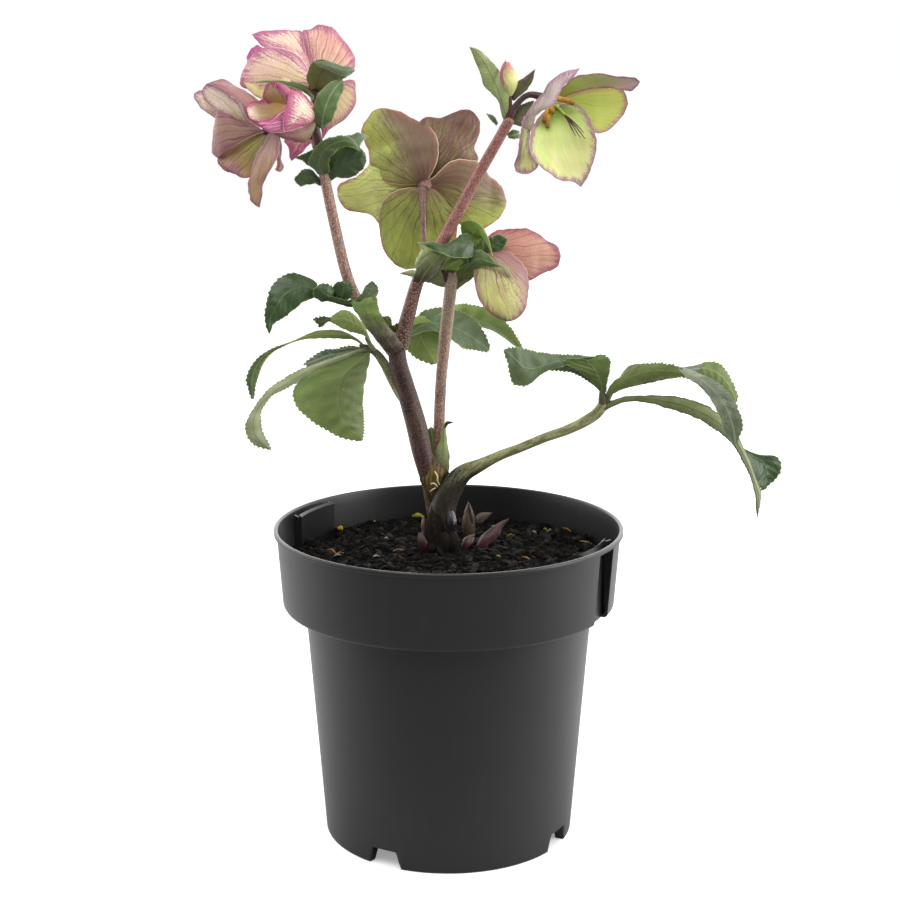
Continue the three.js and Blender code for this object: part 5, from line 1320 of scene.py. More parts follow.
LONG_LEAFLET = [
    blade("-45 12 270, -52 9 276, -58 5 279, -66 1 280, -73.5 -4 279, -81 -8 276, -89 -11 273, "
          "-95 -13 269.5, -99 -15 264, -101.5 -16 256, -103 -16 246",
          "-44.5 11 268, -50 8 273, -56.5 5 274.5, -66 0 275.5, -76 -6 276, -84.5 -10 274, -92.5 -13 270, "
          "-97 -15 265, -100 -16 258, -102 -17 252", 0.3, tooth=0.15, paint=(LEAF_UNDER, LEAF_TOP)),
    blade("-77.5 -7 277, -86 -11 274.5, -94 -14 271.5, -100 -16 267.5, -104 -17 262, -106 -18 256.5, "
          "-105 -18 251.5, -103.5 -17 245.5",
          "-77.5 -7 276.5, -86 -11 273.5, -93 -13 270.5, -98 -15 265.5, -100.5 -16 259, -102 -17 252", 0.3),
]
HANGING_LEAFLET = [
    blade("-42.5 10 267.5, -48.5 6 269, -55.5 3 267, -63 -1 265, -71 -5 262.5, -78.5 -8 260, "
          "-86.5 -11 256, -93.5 -13 251.5, -98.5 -15 246.5, -103 -17 240.5, -106 -18 235, -107 -18 229.5, "
          "-105 -18 224.5, -101 -17 221, -94 -16 218",
          "-42 10 266.5, -47.5 7 266.5, -55.5 3 264, -63 -1 262, -71 -5 259, -79 -8 254.5, "
          "-86.5 -11 250.5, -93.5 -13 247, -97 -15 242.5, -99 -16 239, -99.5 -17 233.5, -98.5 -17 228, "
          "-96.5 -17 223.5", 0.35, paint=(LEAF_PALE, LEAF_TOP)),
    blade("-43.5 9 269, -53 4 269.5, -59 2 269, -64.5 0 269.5, -68.5 -2 268, -72.5 -5 265.5, -77 -7 262.5",
          "-44.5 8 268, -53 4 266, -60.5 0 264, -69.5 -4 262", -0.25, paint=(LEAF_PAINTED_GREY_SHEEN, LEAF_UNDER)),
]
BROAD_LEAFLET = [
    # The flush paints this sheet's right half lighter with the lit finish's flushed colour: a painted
    # highlight where that half bends towards the light.
    blade("-43.5 13 267, -52 14 266.5, -60.5 18 262.5, -70.5 22 257.5, -79.5 26 250.5, -84 29 244.5, "
          "-86 31 238.5, -84 32 232, -77 33 225, -67 34 218, -58 34 214, -48.5 34 212",
          "-42 13 265.5, -43 16 260.5, -45 22 252.5, -47 27 243.5, -48 31 233.5, -47.5 33 223.5", 0.12,
          middle=outline("-43 13 266, -49 16 260.5, -56 20 254, -60 25 245.5, -61 29 238, -60.5 32 229.5, "
          "-56 34 220, -48.5 34 213"), flush=(0.2, 0.2, 0.8, 0), paint=(LEAF_LIT, LEAF_TOP)),
    blade("-42.5 12 268, -53.5 14 269, -61.5 17 266.5, -69 20 264, -74.5 22 260.5, -78 24 257.5",
          "-43.5 12 266, -53.5 14 263.5, -61.5 17 260.5, -70 20 257.5", 0.15),
]
sheets_piece("stem_leaflet_1", CURLED_LEAFLET, (DARK_TOP, LEAF_UNDER), "leaf", 210,
    **{**LEAF_HABIT, "dents": 0.7, "dent_mm": 8.0, "quilt": 0.15, "tooth": (0.2, 0.9)})
for number, leaflet in enumerate([SMALL_LEAFLET, LONG_LEAFLET, HANGING_LEAFLET, BROAD_LEAFLET], start=2):
    sheets_piece(f"stem_leaflet_{number}", leaflet, LEAF_SIDES, "leaf", 210 + 10 * number, **LEAF_HABIT)

# %% [markdown]
# A three-part leaf at the back fills the plant out behind. It is seen from far off, so its leaflets
# follow their midribs and share one outline, which is quicker than drawing margins.

# %% The rear leaf
REAR_LEAFLETS = [
    dict(spine=[[-24, 28, 272], [-10, 38, 278], [6, 46, 273], [23, 50, 261]],
         face=[[0.1, -0.5, 0.9], [0.3, -0.8, 0.5]], cup=20, widest=11),
    dict(spine=[[-24, 30, 272], [1, 58, 280], [24, 66, 273], [42, 70, 258]],
         face=[[0.1, 0.6, 0.8], [0.6, 0.7, 0.4]], cup=30, widest=9),
    dict(spine=[[-24, 28, 271], [-19, 36, 276], [-14, 40, 267], [-7, 40, 255]], face=[-0.2, 0.8, 0.5], cup=20,
         widest=10),
]
stalk = stem("-26 6 262, -26 18 270, -24 30 272", [2.4, 2, 2.6])
sheets_piece("rear_leaf", REAR_LEAFLETS, (LEAF_TOP, LEAF_LIT), "leaf", 300, more=[(stalk, OLIVE)],
    **LEAF_HABIT)

# %% [markdown]
# Bracts are small leaves that clasp the stem where it branches. They are softer and greener than the
# leaves, their margins are finely toothed and often red, and most fold like a hood.

# %% Bract finishes
BRACT_TOP = leaf_finish("soft bract, upper side", "#4c5e32", "#3c4c26", "#6a7a48", "#6a7c44", "#8a9a54",
    pitch_mm=5.0, midrib_mm=0.5, vein_strength=0.14, midrib_strength=0.4)
BRACT_UNDER = leaf_finish("soft bract, underside", "#70883c", "#5c7032", "#8f9c5c", "#6a6440", "#7f6a4c",
    pitch_mm=6.0, midrib_mm=0.5, roughness=0.5, flushed="#4c3c38")
BRACT_DARK = leaf_finish("shaded bract, upper side", "#425830", "#324624", "#5c7448", "#4c6438", "#8a9c58",
    pitch_mm=5.0, midrib_mm=0.5, roughness=0.36, gloss=0.5, vein_strength=0.12, midrib_strength=0.4)
# A lit copy of the upper side: its grey is a painted sheen, the waxy gloss seen at a slant painted into the
# colour.
BRACT_PAINTED_GREY_SHEEN = leaf_finish("bract with a grey sheen painted into its colour", "#606e50", "#4c5c3e", "#7c8a6c", "#6a7a58",
    "#8a945c", pitch_mm=5.0, midrib_mm=0.5, roughness=0.38, gloss=0.5, midrib_strength=0.4)
BRACT_OVAL = leaf_finish("fresh bract, upper side", "#5c7240", "#4a5e30", "#78905c", "#84986a", "#8a945c",
    pitch_mm=4.0, midrib_mm=0.5, vein_strength=0.12)
BRACT_LIME = leaf_finish("bract lit from above", "#7c943c", "#64802e", "#94a85c", "#a0ac6c", "#b4c070",
    pitch_mm=4.0, midrib_mm=0.5, vein_strength=0.15)
CLASP = leaf_finish("striped clasp of a leaf base", "#748440", "#565c34", "#8c9880", "#84964c", "#988c90",
    pitch_mm=30.0, midrib_mm=0.5, vein_strength=0.3, flushed="#463834")
BRACT_PALE = leaf_finish("young bract, pale green", "#96a468", "#808f54", "#aab480", "#7f7458", "#7f7050",
    pitch_mm=5.0, midrib_mm=0.5, roughness=0.45, flushed="#6a5650")
BRACT_BROWN = leaf_finish("olive bract tinged with brown", "#656a40", "#4c5030", "#7f8458", "#5c4038",
    "#5c3a38", pitch_mm=5.0, midrib_mm=0.5, flushed="#5a4244", midrib_strength=0.4)
HOOD_UNDER = leaf_finish("hood bract, dark underside", "#86884a", "#70723a", "#98985c", "#6a6438",
    "#6f5a3c", pitch_mm=5.0, midrib_mm=0.5)
BRACT_SIDES = (BRACT_TOP, BRACT_UNDER)
BRACT_HABIT = dict(ruffle=0.5, quilt=0.25, veins=6, pinnate=True, tooth=0.35, pitch=1.7, thick=0.45,
    dents=0.35, dent_mm=5.0, columns=21)
print("ten bract finishes")

# %% [markdown]
# The bracts are listed by the node they grow from. The sheets of one node are one piece, because they
# touch where they clasp the stem. The names say which finish faces the viewer where it is not the
# upper side.

# %% Bracts at the nodes
BRACTS = {
    "fork_bract": [
        blade("-32 -2 267.5, -38 -8 275.5, -44.5 -10 285, -50 -9 292.5, -50.5 -9 296.5, -45.5 -10 296, "
              "-41 -10 297",
              "-24 -3 272, -29.5 -8 280.5, -34.5 -11 287.5, -37 -12 294.5, -38 -12 299", 0.35,
              flush=(1.7, -0.8), paint=(BRACT_UNDER, BRACT_TOP)),
        blade("-52.5 -8 295.5, -48.5 -9 298, -45.5 -10 301, -43 -10 305, -40 -10 307.5",
              "-42 -12 296, -39 -13 298.5, -37 -12 302, -37.5 -11 305", -0.25,
              paint=(BRACT_PAINTED_GREY_SHEEN, BRACT_UNDER)),
        blade("-25 5 274, -30 2 279, -34.5 1 283.5, -35.5 1 286.5, -32.5 1 287.5",
              "-25 5 278, -27.5 2 283.5, -29.5 1 282, -31 1 286.5", 0.2),
    ],
    "left_bracts": [
        blade("-68 -4 362.5, -72 -9 368.5, -69.5 -13 375, -65 -15 379.5, -59 -16 382, -53 -16 382.5, "
              "-48.5 -15 380, -45.5 -14 375",
              "-61.5 -6 363.5, -61.5 -12 370, -58.5 -15 374.5, -54 -16 377, -49.5 -16 377", 0.25),
        blade("-56 -8 380, -52.5 -8 381.5, -47.5 -7 383.5, -41 -4 382",
              "-53.5 -10 377, -49.5 -12 377, -46.5 -12 376.5, -44 -9 380", 0.2,
              paint=(BRACT_PAINTED_GREY_SHEEN, BRACT_UNDER)),
        blade("-64 -3 362.5, -62 -5 371, -58 -7 375.5, -52.5 -8 377, -46.5 -8 376.5, -43.5 -7 373.5, "
              "-42.5 -6 369.5",
              "-61.5 -2 358.5, -57.5 -3 360.5, -52 -4 360.5, -47 -5 363, -44.5 -6 365.5", 0.25,
              paint=(BRACT_DARK, BRACT_UNDER)),
        blade("-67 0 360, -71.5 -3 364.5, -75.5 -4 365, -77.5 -5 363, -80 -5 360.5, -79.5 -5 358.5, "
              "-77 -4 356",
              "-65 0 355.5, -69.5 -1 357, -73.5 -2 357", 0.25, paint=(BRACT_DARK, BRACT_UNDER)),
        blade("-67 -2 365.5, -72.5 -4 367, -76 -5 369.5, -79.5 -6 371",
              "-66.5 -4 372, -70 -6 375, -73.5 -6 373.5", 0.2, paint=(BRACT_DARK, BRACT_UNDER)),
    ],
    "hood_bract": [
        blade("-71 10 404, -73 2 409.5, -72 -6 415, -68.5 -10 419.5, -64 -12 420, -56 -13 417.5, "
              "-48 -12 416",
              "-67 10 404, -60.5 2 408.5, -53.5 -6 411.5, -50 -10 413.5", -0.35,
              paint=(HOOD_UNDER, BRACT_TOP)),
        blade("-69.5 -9 420, -63 -13 420, -55 -15 418, -50 -14 417, -47.5 -12 415.5",
              "-67.5 -12 418, -61 -15 415.5, -56 -16 413.5, -52.5 -16 412.5, -49.5 -14 413.5", 0.3,
              paint=(BRACT_PAINTED_GREY_SHEEN, HOOD_UNDER)),
        blade("-70 2 400, -74 0 403.5, -80 -2 406.5, -88 -3 408.5, -94.5 -3 409, -102.5 -3 409",
              "-70.5 3 403, -73.5 1 407, -79.5 0 409, -87 -1 410, -94.5 -2 410", 0.3),
    ],
    "oval_bract": [
        blade("-66 -8 386, -69 -13 390, -69.5 -16 395.5, -67.5 -17 401, -64 -16 406, -59.5 -14 409.5, "
              "-54 -12 411",
              "-63.5 -8 386.5, -60 -12 390.5, -57.5 -14 395.5, -55.5 -14 402, -53.5 -13 407", 0.2,
              paint=(BRACT_OVAL, BRACT_UNDER)),
    ],
}
print(len(BRACTS), "clusters at the main fork and on the left branch")

# %% Bracts of the second stem and the right branch
BRACTS |= {
    "middle_bracts": [
        blade("-16.5 1 311, -18 0 314.5, -17 0 317.5, -15.5 0 320.5, -15 0 323, -16 0 326.5",
              "-15.5 -2 311.5, -12.5 -3 315.5, -10 -4 319.5, -7.5 -5 323.5, -11.5 -3 325", 0.3,
              paint=(BRACT_PALE, BRACT_TOP), tooth=0),
        blade("-19 -5 306.5, -17.5 -8 312, -14.5 -9 317, -10.5 -9.5 321.5, -6 -9.5 325.5",
              "-11.5 -4 306.5, -8 -7 311.5, -4.5 -8 315, -1 -9 319, 2 -9.5 321.5, 3 -9.5 323, "
              "-1.5 -9.5 324.5", 0.35, flush=(1.2, -0.6), paint=(CLASP, BRACT_TOP), tooth=0),
        blade("12.5 -10 320, 7 -14 320, 3 -15 320.5, -2 -15 322, -6.5 -14 323.5, -11 -13 325.5, "
              "-16.5 -12 328",
              "12.5 -6 330, 9.5 -6 332, 6.5 -7 331.5, 3 -9 329, -1 -10 326.5, -4.5 -11 327, "
              "-8.5 -12 328.5, -12 -12 327.5", 0.25, paint=(BRACT_DARK, BRACT_UNDER)),
    ],
    "second_bracts": [
        blade("9 0 324.5, 7 -1 330, 6.5 -2 334.5, 7.5 -3 337.5, 10.5 -4 338.5, 14.5 -6 338, 18 -8 334.5, "
              "21 -10 329, 23 -12 320.5",
              "15.5 2 324.5, 18.5 0 329, 20 -6 326.5, 21.5 -10 323.5", 0.25,
              paint=(BRACT_LIME, BRACT_UNDER)),
        blade("14.5 2 319, 18 2 324.5, 21 2 328, 24.5 1 330, 27.5 0 330.5, 31 -1 328.5",
              "22 2 315, 25.5 0 320, 28.5 0 323, 30 -1 326", 0.25, paint=(BRACT_DARK, BRACT_UNDER)),
        blade("9 -2 315.5, 12 -6 322, 16 -8 323.5, 20 -10 321.5, 24.5 -11 317.5, 28.5 -11 315.5, "
              "31.5 -10 313, 33 -9 309.5",
              "10.5 -2 311, 18.5 -8 315, 22.5 -10 314.5, 26.5 -12 315, 29.5 -12 313", 0.3,
              paint=(BRACT_OVAL, BRACT_UNDER)),
        blade("-1 0 311, -2.5 -4 315, 0.5 -6 318, 5 -7 319, 9.5 -7 318.5",
              "2.5 0 310, 5 -4 312.5, 8 -6 315, 10.5 -7 317", -0.3),
        blade("-0.5 5 304, -6.5 5 306, -12.5 5 309, -19.5 6 311, -26 6 309.5",
              "-1 5 302, -5.5 4 303, -11 4 305.5, -18 5 307.5", 0.25, paint=(BRACT_PALE, BRACT_UNDER)),
        blade("3.5 3 301, 6.5 3 307, 10.5 3 308, 14 4 309",
              "5 2 301.5, 8.5 2 304.5, 11.5 2 306.5", 0.2, flush=(0.6, 0.8),
              paint=(BRACT_PALE, BRACT_UNDER)),
        blade("-10 6 308, -9.5 6 312, -7.5 6 316, -2 6 320",
              "7 6 303, 9 6 308, 8 6 314.5, 4 6 319", 0.1, paint=(BRACT_DARK, BRACT_UNDER), tooth=0),
        blade("-12 4 305, -7.5 4 304, -4.5 4 303, -1 4 302.5",
              "-11 4 307, -7.5 3 309.5, -4.5 2 314.5, -1.5 2 313, 1 4 307", 0.3, flush=(0.3, 0.0),
              paint=(BRACT_PALE, BRACT_UNDER), tooth=0),
        blade("-3.5 -3 313.5, -2.5 -4 316.5, 1 -5 320, 6 -5 321.5, 11.5 -5 320",
              "-1.5 -3 312.5, 3.5 -4 312.5, 7 -5 314.5, 9.5 -5 317", 0.3, paint=(BRACT_LIME, BRACT_UNDER)),
        blade("-0.5 4 304, -0.5 3 311.5, 4 2 313.5, 7.5 1 316, 11.5 0 319.5",
              "6 4 304, 10 3 307, 14 2 308.5, 17.5 2 310, 20 1 313.5, 17 0 317", 0.3, flush=(0.7, -0.5),
              tooth=0, paint=(BRACT_UNDER, BRACT_TOP)),
        blade("12.5 2 316, 12 2 322.5, 12.5 2 327.5, 15 2 330.5, 18.5 2 330",
              "17.5 2 313, 22 2 314, 24 2 318, 23.5 2 323.5, 21.5 2 327.5", 0.2,
              paint=(BRACT_OVAL, BRACT_UNDER), tooth=0),
    ],
    "tip_bracts": [
        blade("32 -11 401, 31.5 -12 404.5, 34.5 -13 409, 38.5 -14 412, 44 -15 416",
              "33.5 -11 400, 37 -12 403, 40.5 -13 406, 43 -14 411", 0.3, flush=(0.3, 0.6),
              paint=(BRACT_BROWN, BRACT_UNDER), tooth=0),
        blade("31.5 -9 391, 34 -8 395, 39 -7 398.5, 44 -6 400",
              "33 -10 388, 37.5 -9 387.5, 41 -8 392, 43 -7 397", 0.3, flush=(0.5, 0.1),
              paint=(BRACT_BROWN, BRACT_UNDER)),
        blade("30 -8 383.5, 33.5 -7 385, 36.5 -6 384.5",
              "31 -8 381, 34.5 -7 380.5, 36.5 -6 381.5", 0.3, paint=(BRACT_OVAL, BRACT_UNDER)),
        blade("24.5 -11 387.5, 22 -11 390, 19.5 -10 393.5",
              "25.5 -12 389, 23 -12 392.5", 0.3, paint=(BRACT_PAINTED_GREY_SHEEN, BRACT_UNDER)),
    ],
}
print(len(BRACTS), "clusters in all")

# %% From bracts to pieces
for number, (node, specs) in enumerate(BRACTS.items()):
    sheets_piece(node, specs, BRACT_SIDES, "bract", 400 + 10 * number, **BRACT_HABIT)
TALL_BRACT = [
    blade("28.5 -12 388.5, 27 -13 394, 25 -15 400.5, 21.5 -17 404, 18 -18 408, 15.5 -20 415, 12.5 -22 422, "
          "10.5 -23 427",
          "32.5 -12 390, 32 -13 397, 31 -14 404, 28 -16 410.5, 24.5 -18 416.5, 20.5 -20 421, 15.5 -22 425.5",
          0.12,
          middle=outline("30.5 -12 389.5, 28.5 -13.5 395.5, 26.5 -15 401.5, 24.5 -16.5 407.5, "
          "21.5 -18.5 413.5, 18 -20.5 419.5, 14.5 -22 424, 10.5 -23 427"), keel=0.3, tooth=0),
]
sheets_piece("tall_bract", TALL_BRACT, (BRACT_PALE, BRACT_PAINTED_GREY_SHEEN), "bract", 490, **BRACT_HABIT)

# %% [markdown]
# At soil level a papery brown sheath and a green one wrap the stems' feet. They are sheets without teeth
# or a midrib, and the brown one has lost its green: streaks of straw on umber.

# %% Sheaths
SHEATH = sepal_finish("papery basal sheath", "#2c211b", "#5c4a28", "#2e231b", "#2e241c",
    edge=("#6a5a34", "#3a2c20"), blush_mm=3.5, streak="#9a8848", streak_strength=0.45, veins=9.0,
    vein_strength=0.35, base_reach=0.4, gloss=0.2, glow=0.02)
BROWN_SHEATH = [
    blade("-9.5 9 181, -13 9.5 189, -15.5 10 196, -15.5 10 202, -13.5 10 207, -12 10 210.5, -12.5 9 214",
          "-8 8 182.5, -5 8 190.5, -2 9 196, 0 10 200, -3.5 10 204, -7.5 10 208, -10.5 9.5 211.5", 0.45,
          keel=0.6, flush=(1.0, -0.3)),
]
GREEN_SHEATH = [
    blade("-6 14 195.5, -7.5 14 205, -7 14 211, -5 14 216.5, -4 14 222, -2.5 14 226, -1 14 227.5",
          "-1 14 194.5, 0.5 14 201.5, 0.5 14 208.5, -0.5 14 214.5, -1 14 220, -1.5 14 224", 0.4,
          flush=(1.0, -0.6)),
    blade("-2.5 13.5 224.5, -1.5 13 227.5, 1 12.5 228, 3 12 227",
          "-1.5 13.5 223.5, -0.5 13 225.5, 1 12.5 226.5", 0.3, paint=(DARK_TOP, BRACT_UNDER)),
    blade("-8.5 17 208, -10.5 17 216.5, -11.5 17 222, -9.5 17 224",
          "-7.5 17 209.5, -7.5 17 216.5, -7.5 17 222", 0.3, paint=(LEAF_FRESH, BRACT_UNDER)),
]
SHEATH_HABIT = {**BRACT_HABIT, "tooth": 0, "pinnate": False}
ROOT = stem_finish("pale feeding root", "#d8c8a0", "#b8a070", "#efe4c4", "#a08a5c", speck_strength=0.2)
white_roots = [
    stem("-7.5 1 202.5, -6 0 200, -6 0 197.5, -5 1 195", [0.3, 0.45, 0.4, 0.3], sides=8),
    stem("-9.5 1 195.5, -8 0 196, -6 1 194", [0.35, 0.45, 0.3], sides=8),
    stem("-10 2 191, -8.5 1 192.5, -7 2 193", [0.25, 0.35, 0.25], sides=8),
]
sheets_piece("brown_sheath", BROWN_SHEATH, (SHEATH, SHEATH), "sheath", 500,
    more=[(root, ROOT) for root in white_roots], **SHEATH_HABIT)
sheets_piece("green_sheath", GREEN_SHEATH, (BRACT_PALE, BRACT_UNDER), "bract", 510, **SHEATH_HABIT)

# %% [markdown]
# The crown is the woody knob that the plant grows from. Old leaves have left scars and corky scales on
# it, and glossy buds push out at its sides. A lumpy core, a few lumpy side knobs and a crowd of little
# scales give that broken outline.

# %% Crown
CROWN = stem_finish("corky crown", "#1b1512", "#0f0c0a", "#352b22", "#120e0c", speck_strength=0.3,
    roughness=0.75, gloss=0.1)
BLUE_BLACK = stem_finish("glossy blue-black bud scale", "#1c1b22", "#131117", "#34343e", "#3a2028",
    roughness=0.25, speck_strength=0.15, gloss=0.5)
RED_SCALE = stem_finish("dark red bud scale", "#34161a", "#221012", "#4c2a2a", "#1c1010", speck_strength=0.2)
SCAR = stem_finish("healed leaf scar", "#5c483c", "#3c2e26", "#8a7462", "#2a211b", speck_strength=0.4)
SCALES = [(-11, 2, 166, 2.2, 1), (-6.5, 1.5, 167, 1.6, -2), (-1.5, 1, 170, 1.5, 1.5),
    (-9.5, 0, 160, 2.4, -1.5), (-13, 2, 160, 1.5, 1), (-4.5, -1.5, 158.5, 1.8, 2), (0, 0, 161.5, 1.5, -1),
    (5, 2, 158.5, 1.4, 1), (-7, 2, 173, 1.4, 2), (-2.5, 0.5, 164.5, 1.3, -1.5), (-12, 0.5, 156.5, 1.4, 2)]
grown_piece("crown-grown", [
    stem("-3 10 184, -3.5 9 176, -4 8 168, -4 8 156, -4 8 146", [6, 7, 8.2, 9, 7], sides=48, lumps=0.16,
        seed=8, step=0.7, flush=(0.5, 0.5)),
    stem("-8.5 5 178, -9.5 3 171, -10 3 161, -10 4 153", [2.4, 3.4, 3.8, 3], lumps=0.12, seed=4, step=0.7),
    stem("1 3 169, 2.5 2 163, 1 3 155", [2.6, 3.6, 3], lumps=0.12, seed=5, step=0.7),
    stem("-3.5 1 168, -2 0 164.5, -3 1 157", [2.6, 3.2, 3], lumps=0.12, seed=6, step=0.7),
    stem("0.5 5 179, 1.5 3.5 174, 1 3 167", [2.0, 3.0, 2.6], lumps=0.05, step=0.7, finish=1),
    stem("-14.5 4 167, -14 2 163, -12.5 3 155", [2.4, 3.4, 3], lumps=0.1, step=0.7, finish=2),
    stem("-13.5 6 175, -14 5 171.5, -13.5 5 166", [0.9, 1.4, 1.2], lumps=0.15, step=0.6, finish=3),
    *(stem([[x - lean, y + 1.2, z + 3.5], [x, y, z], [x + lean, y + 1, z - 4]], [0.6, wide, 1.2], lumps=0.3,
        ribs=0.1, seed=k, step=0.6, sides=14) for k, (x, y, z, wide, lean) in enumerate(SCALES)),
], [CROWN, BLUE_BLACK, RED_SCALE, SCAR], "crown", "crown")

# %% [markdown]
# New shoots come up round the crown, magenta at the foot and wine-brown above. Each is a core with a
# scale leaf folded round it.

# %% New shoots
SHOOT = stem_finish("wine-brown shoot", "#3a2722", "#2a1c1a", "#5c4840", "#5c5040", speck_strength=0.2)
SHOOT_PINK = stem_finish("magenta shoot base", "#5c2230", "#401824", "#7c4854", "#483a34", speck_strength=0.2)
SHOOTS = [
    blade("8.5 43 152.5, 7.5 43 161.5, 9 43 169, 11 43 175",
          "14.5 41 152.5, 15 41 162.5, 13.5 42 170.5", 0.6, flush=(0.3, 0.8)),
    blade("16 70 153, 16 70 159, 19 70 161.5, 25.5 70 161.5",
          "18.5 68 153.5, 20.5 68 157, 23 69 159", 0.5, flush=(0.3, 1.0)),
    blade("15 19 155, 17.5 18 160.5, 23 17 165.5, 28.5 17 170, 33.5 17 172",
          "17.5 14 153.5, 22 13 158, 27 14 162, 30 16 167", 0.6, flush=(0.0, 1.0),
          paint=(SHOOT_PINK, SHOOT)),
    blade("6.5 14 154, 7 14 158.5, 9.5 14 162, 14.5 14 164",
          "9.5 11 154, 12 10 158.5, 14 12 161", 0.5, flush=(0.1, 0.6), paint=(SHOOT_PINK, SHOOT)),
]
SHOOT_CORES = [
    stem("13 42 150, 13 42.5 158, 12.5 42 167, 11.5 42 174", [2.2, 2.4, 1.9, 0.6]),
    stem("18 71 150, 18.5 71 156, 22 71 159, 25 71 161", [1.8, 1.8, 1.3, 0.5]),
    stem("16 17 150, 19 17 159, 26 17 166, 33 18 171", [2.4, 2.3, 1.9, 0.5]),
    stem("8 13 150, 9 13 157, 14 13 163", [1.8, 1.6, 0.5]),
]
sheets_piece("new_shoots", SHOOTS, (SHOOT, SHOOT), "shoot", 520,
    more=[(core, SHOOT) for core in SHOOT_CORES], dents=0.2, tooth=0, ruffle=0.2)

# %% [markdown]
# The one closed bud is an egg of overlapping sepals, so a short thick stem with a rose seam does for it.
# The open flower's heart is a ring of gold nectaries, curved horns that hold nectar, round green carpels
# with dark styles. Each is a short bent tube, so the stem function makes them all.

# %% The closed bud
BUD_ROSE = sepal_finish("rose rim of the bud", "#b88a8c", "#b47a84", "#98586c", "#8a4a60", blush_mm=1.5,
    vein_strength=0.1)
BUD = sepal_finish("closed bud", "#c9cc80", "#e6e69c", "#b0607a", "#a8a060", edge=("#c8b890", "#a85a70"),
    flushed="#b47078", vein_strength=0.15, blush_strength=0.0, streak_strength=0.08, edge_mm=0.01)
bud = stem("30.4 -12 402.5, 30.6 -12 405, 30.4 -12.5 409.5, 30 -13 414, 29.6 -13 418",
    [1.8, 4.2, 5.2, 4.6, 2.2], sides=30, step=0.6, flush=(-1.6, 1.0))
BUD_RIM = [
    blade("27.5 -19 407.5, 26 -18.5 410.5, 26 -18 414.5, 27 -17.5 418, 29 -17 420.5",
          "29 -20 408.5, 28 -20 412, 28 -19.5 415.5, 29 -19 418", 0.3),
]
sheets_piece("flower_bud", BUD_RIM, (BUD_ROSE, BUD), "lime_sepal", 610, more=[(bud, BUD)], thick=0.4)

# %% The heart of the open flower
GOLD = stem_finish("gold nectary", "#d09628", "#ac741c", "#e0b048", "#5c3a14", speck_strength=0.3,
    roughness=0.45)
STYLE = stem_finish("dark style", "#552a26", "#3f1f1c", "#743f36", "#9ab04c", speck_strength=0.2)
CARPEL = stem_finish("green carpel", "#a3b84e", "#8aa03e", "#c0cc78", "#6a3a3c", speck_strength=0.2)


def bowed(foot, tip, forward, up):
    """A line from `foot` to `tip` whose middle is pushed to the front and up."""
    middle = [(a + b) / 2 for a, b in zip(foot, tip)]
    return [foot, [middle[0], middle[1] - forward, middle[2] + up], tip]


def nectary(foot, mouth, radius):
    """A short bent horn that widens to a brown mouth."""
    return stem(bowed(foot, mouth, 1.2, 0.8), [radius * 0.55, radius, radius * 0.85], sides=12, step=0.6,
        lumps=0.06, flush=(-0.6, 0.7))


def slender(foot, tip, radius, finish, bow=1.0):
    return stem(bowed(foot, tip, bow, bow), [radius, radius * 0.8, radius * 0.45], sides=8, step=0.9,
        finish=finish)


HORNS = [
    ([53.5, -17, 401], [58, -24, 400.5]), ([54, -17, 401], [63, -24, 399]),
    ([51.5, -17, 399], [52.8, -24, 394.8]), ([50.5, -17, 397.5], [50, -25, 387.5]),
    ([52, -17, 398.5], [48, -24, 390.5]),
]
STYLES = [[68.5, -35, 382], [66, -35, 382.6], [63.6, -34, 383.4], [67.8, -34, 385], [62, -33, 386]]
carpels = [
    slender([53 + 0.5 * k, -17, 398 - 0.6 * k], [58.5 + 0.7 * k, -25, 393.5 - 0.9 * k], 0.9, 2)
    for k in range(4)
]
grown_piece("open_flower_stamens-grown", [
    stem("50 -11 401, 52.5 -15 399, 53.5 -18 397.5", [3, 3.2, 2.2], finish=2),
    *(nectary(foot, mouth, 1.35) for foot, mouth in HORNS),
    *carpels,
    *(slender([58, -24, 394], tip, 0.4, 1, 0.6) for tip in STYLES),
], [GOLD, STYLE, CARPEL], "stamens", "open_flower_stamens")

# %% [markdown]
# Two flowers turn their faces away, so their hearts show only from behind: a boss of cream stamens round
# a few green carpels. The stamens are set one after another at the golden angle, as a real flower sets
# them, which spreads them evenly however many there are.

# %% The hearts that face the back
STAMEN = stem_finish("cream filament, tan anther", "#e8e4b8", "#d4cf98", "#f4f0d0", "#b09a58",
    speck_strength=0.1)
GOLDEN_ANGLE = math.pi * (3 - math.sqrt(5))


def boss(heart, facing, count=32, reach=9.0, seed=1):
    """Stamens that spread from a flower's heart along `facing`, round four carpels."""
    heart, axis = np.array(heart, float), unit(np.array(facing, float))
    side = unit(np.cross(axis, [0, 0, 1]))
    random = np.random.default_rng(seed)
    parts = [slender(heart, heart + (axis + 0.12 * way * np.cross(axis, side)) * reach * 1.15, 0.7, 1,
        0.2) for way in (-3, -1, 1, 3)]
    for k in range(count):
        turn, lean = k * GOLDEN_ANGLE, 0.3 + 0.65 * k / count
        way = axis + lean * (math.cos(turn) * side + math.sin(turn) * np.cross(axis, side))
        tip = heart + way * reach * (0.75 + 0.3 * random.random())
        parts.append(stem([heart + way, (heart + tip) / 2 + axis * 0.5, tip], [0.3, 0.25, 0.22, 0.3, 0.8],
            sides=6, step=1.3, flush=(-2.0, 1.1)))
    return parts


for name, node, heart, facing in (("back", "second_stem", [-12.5, 29, 355], [0, 1, 0.05]),
        ("top", "left_branch", [-70, 17, 408.5], [-0.15, 1, 0.15])):
    grown_piece(f"{name}_flower_stamens", boss(heart, facing), [STAMEN, CARPEL], "stamens", node)

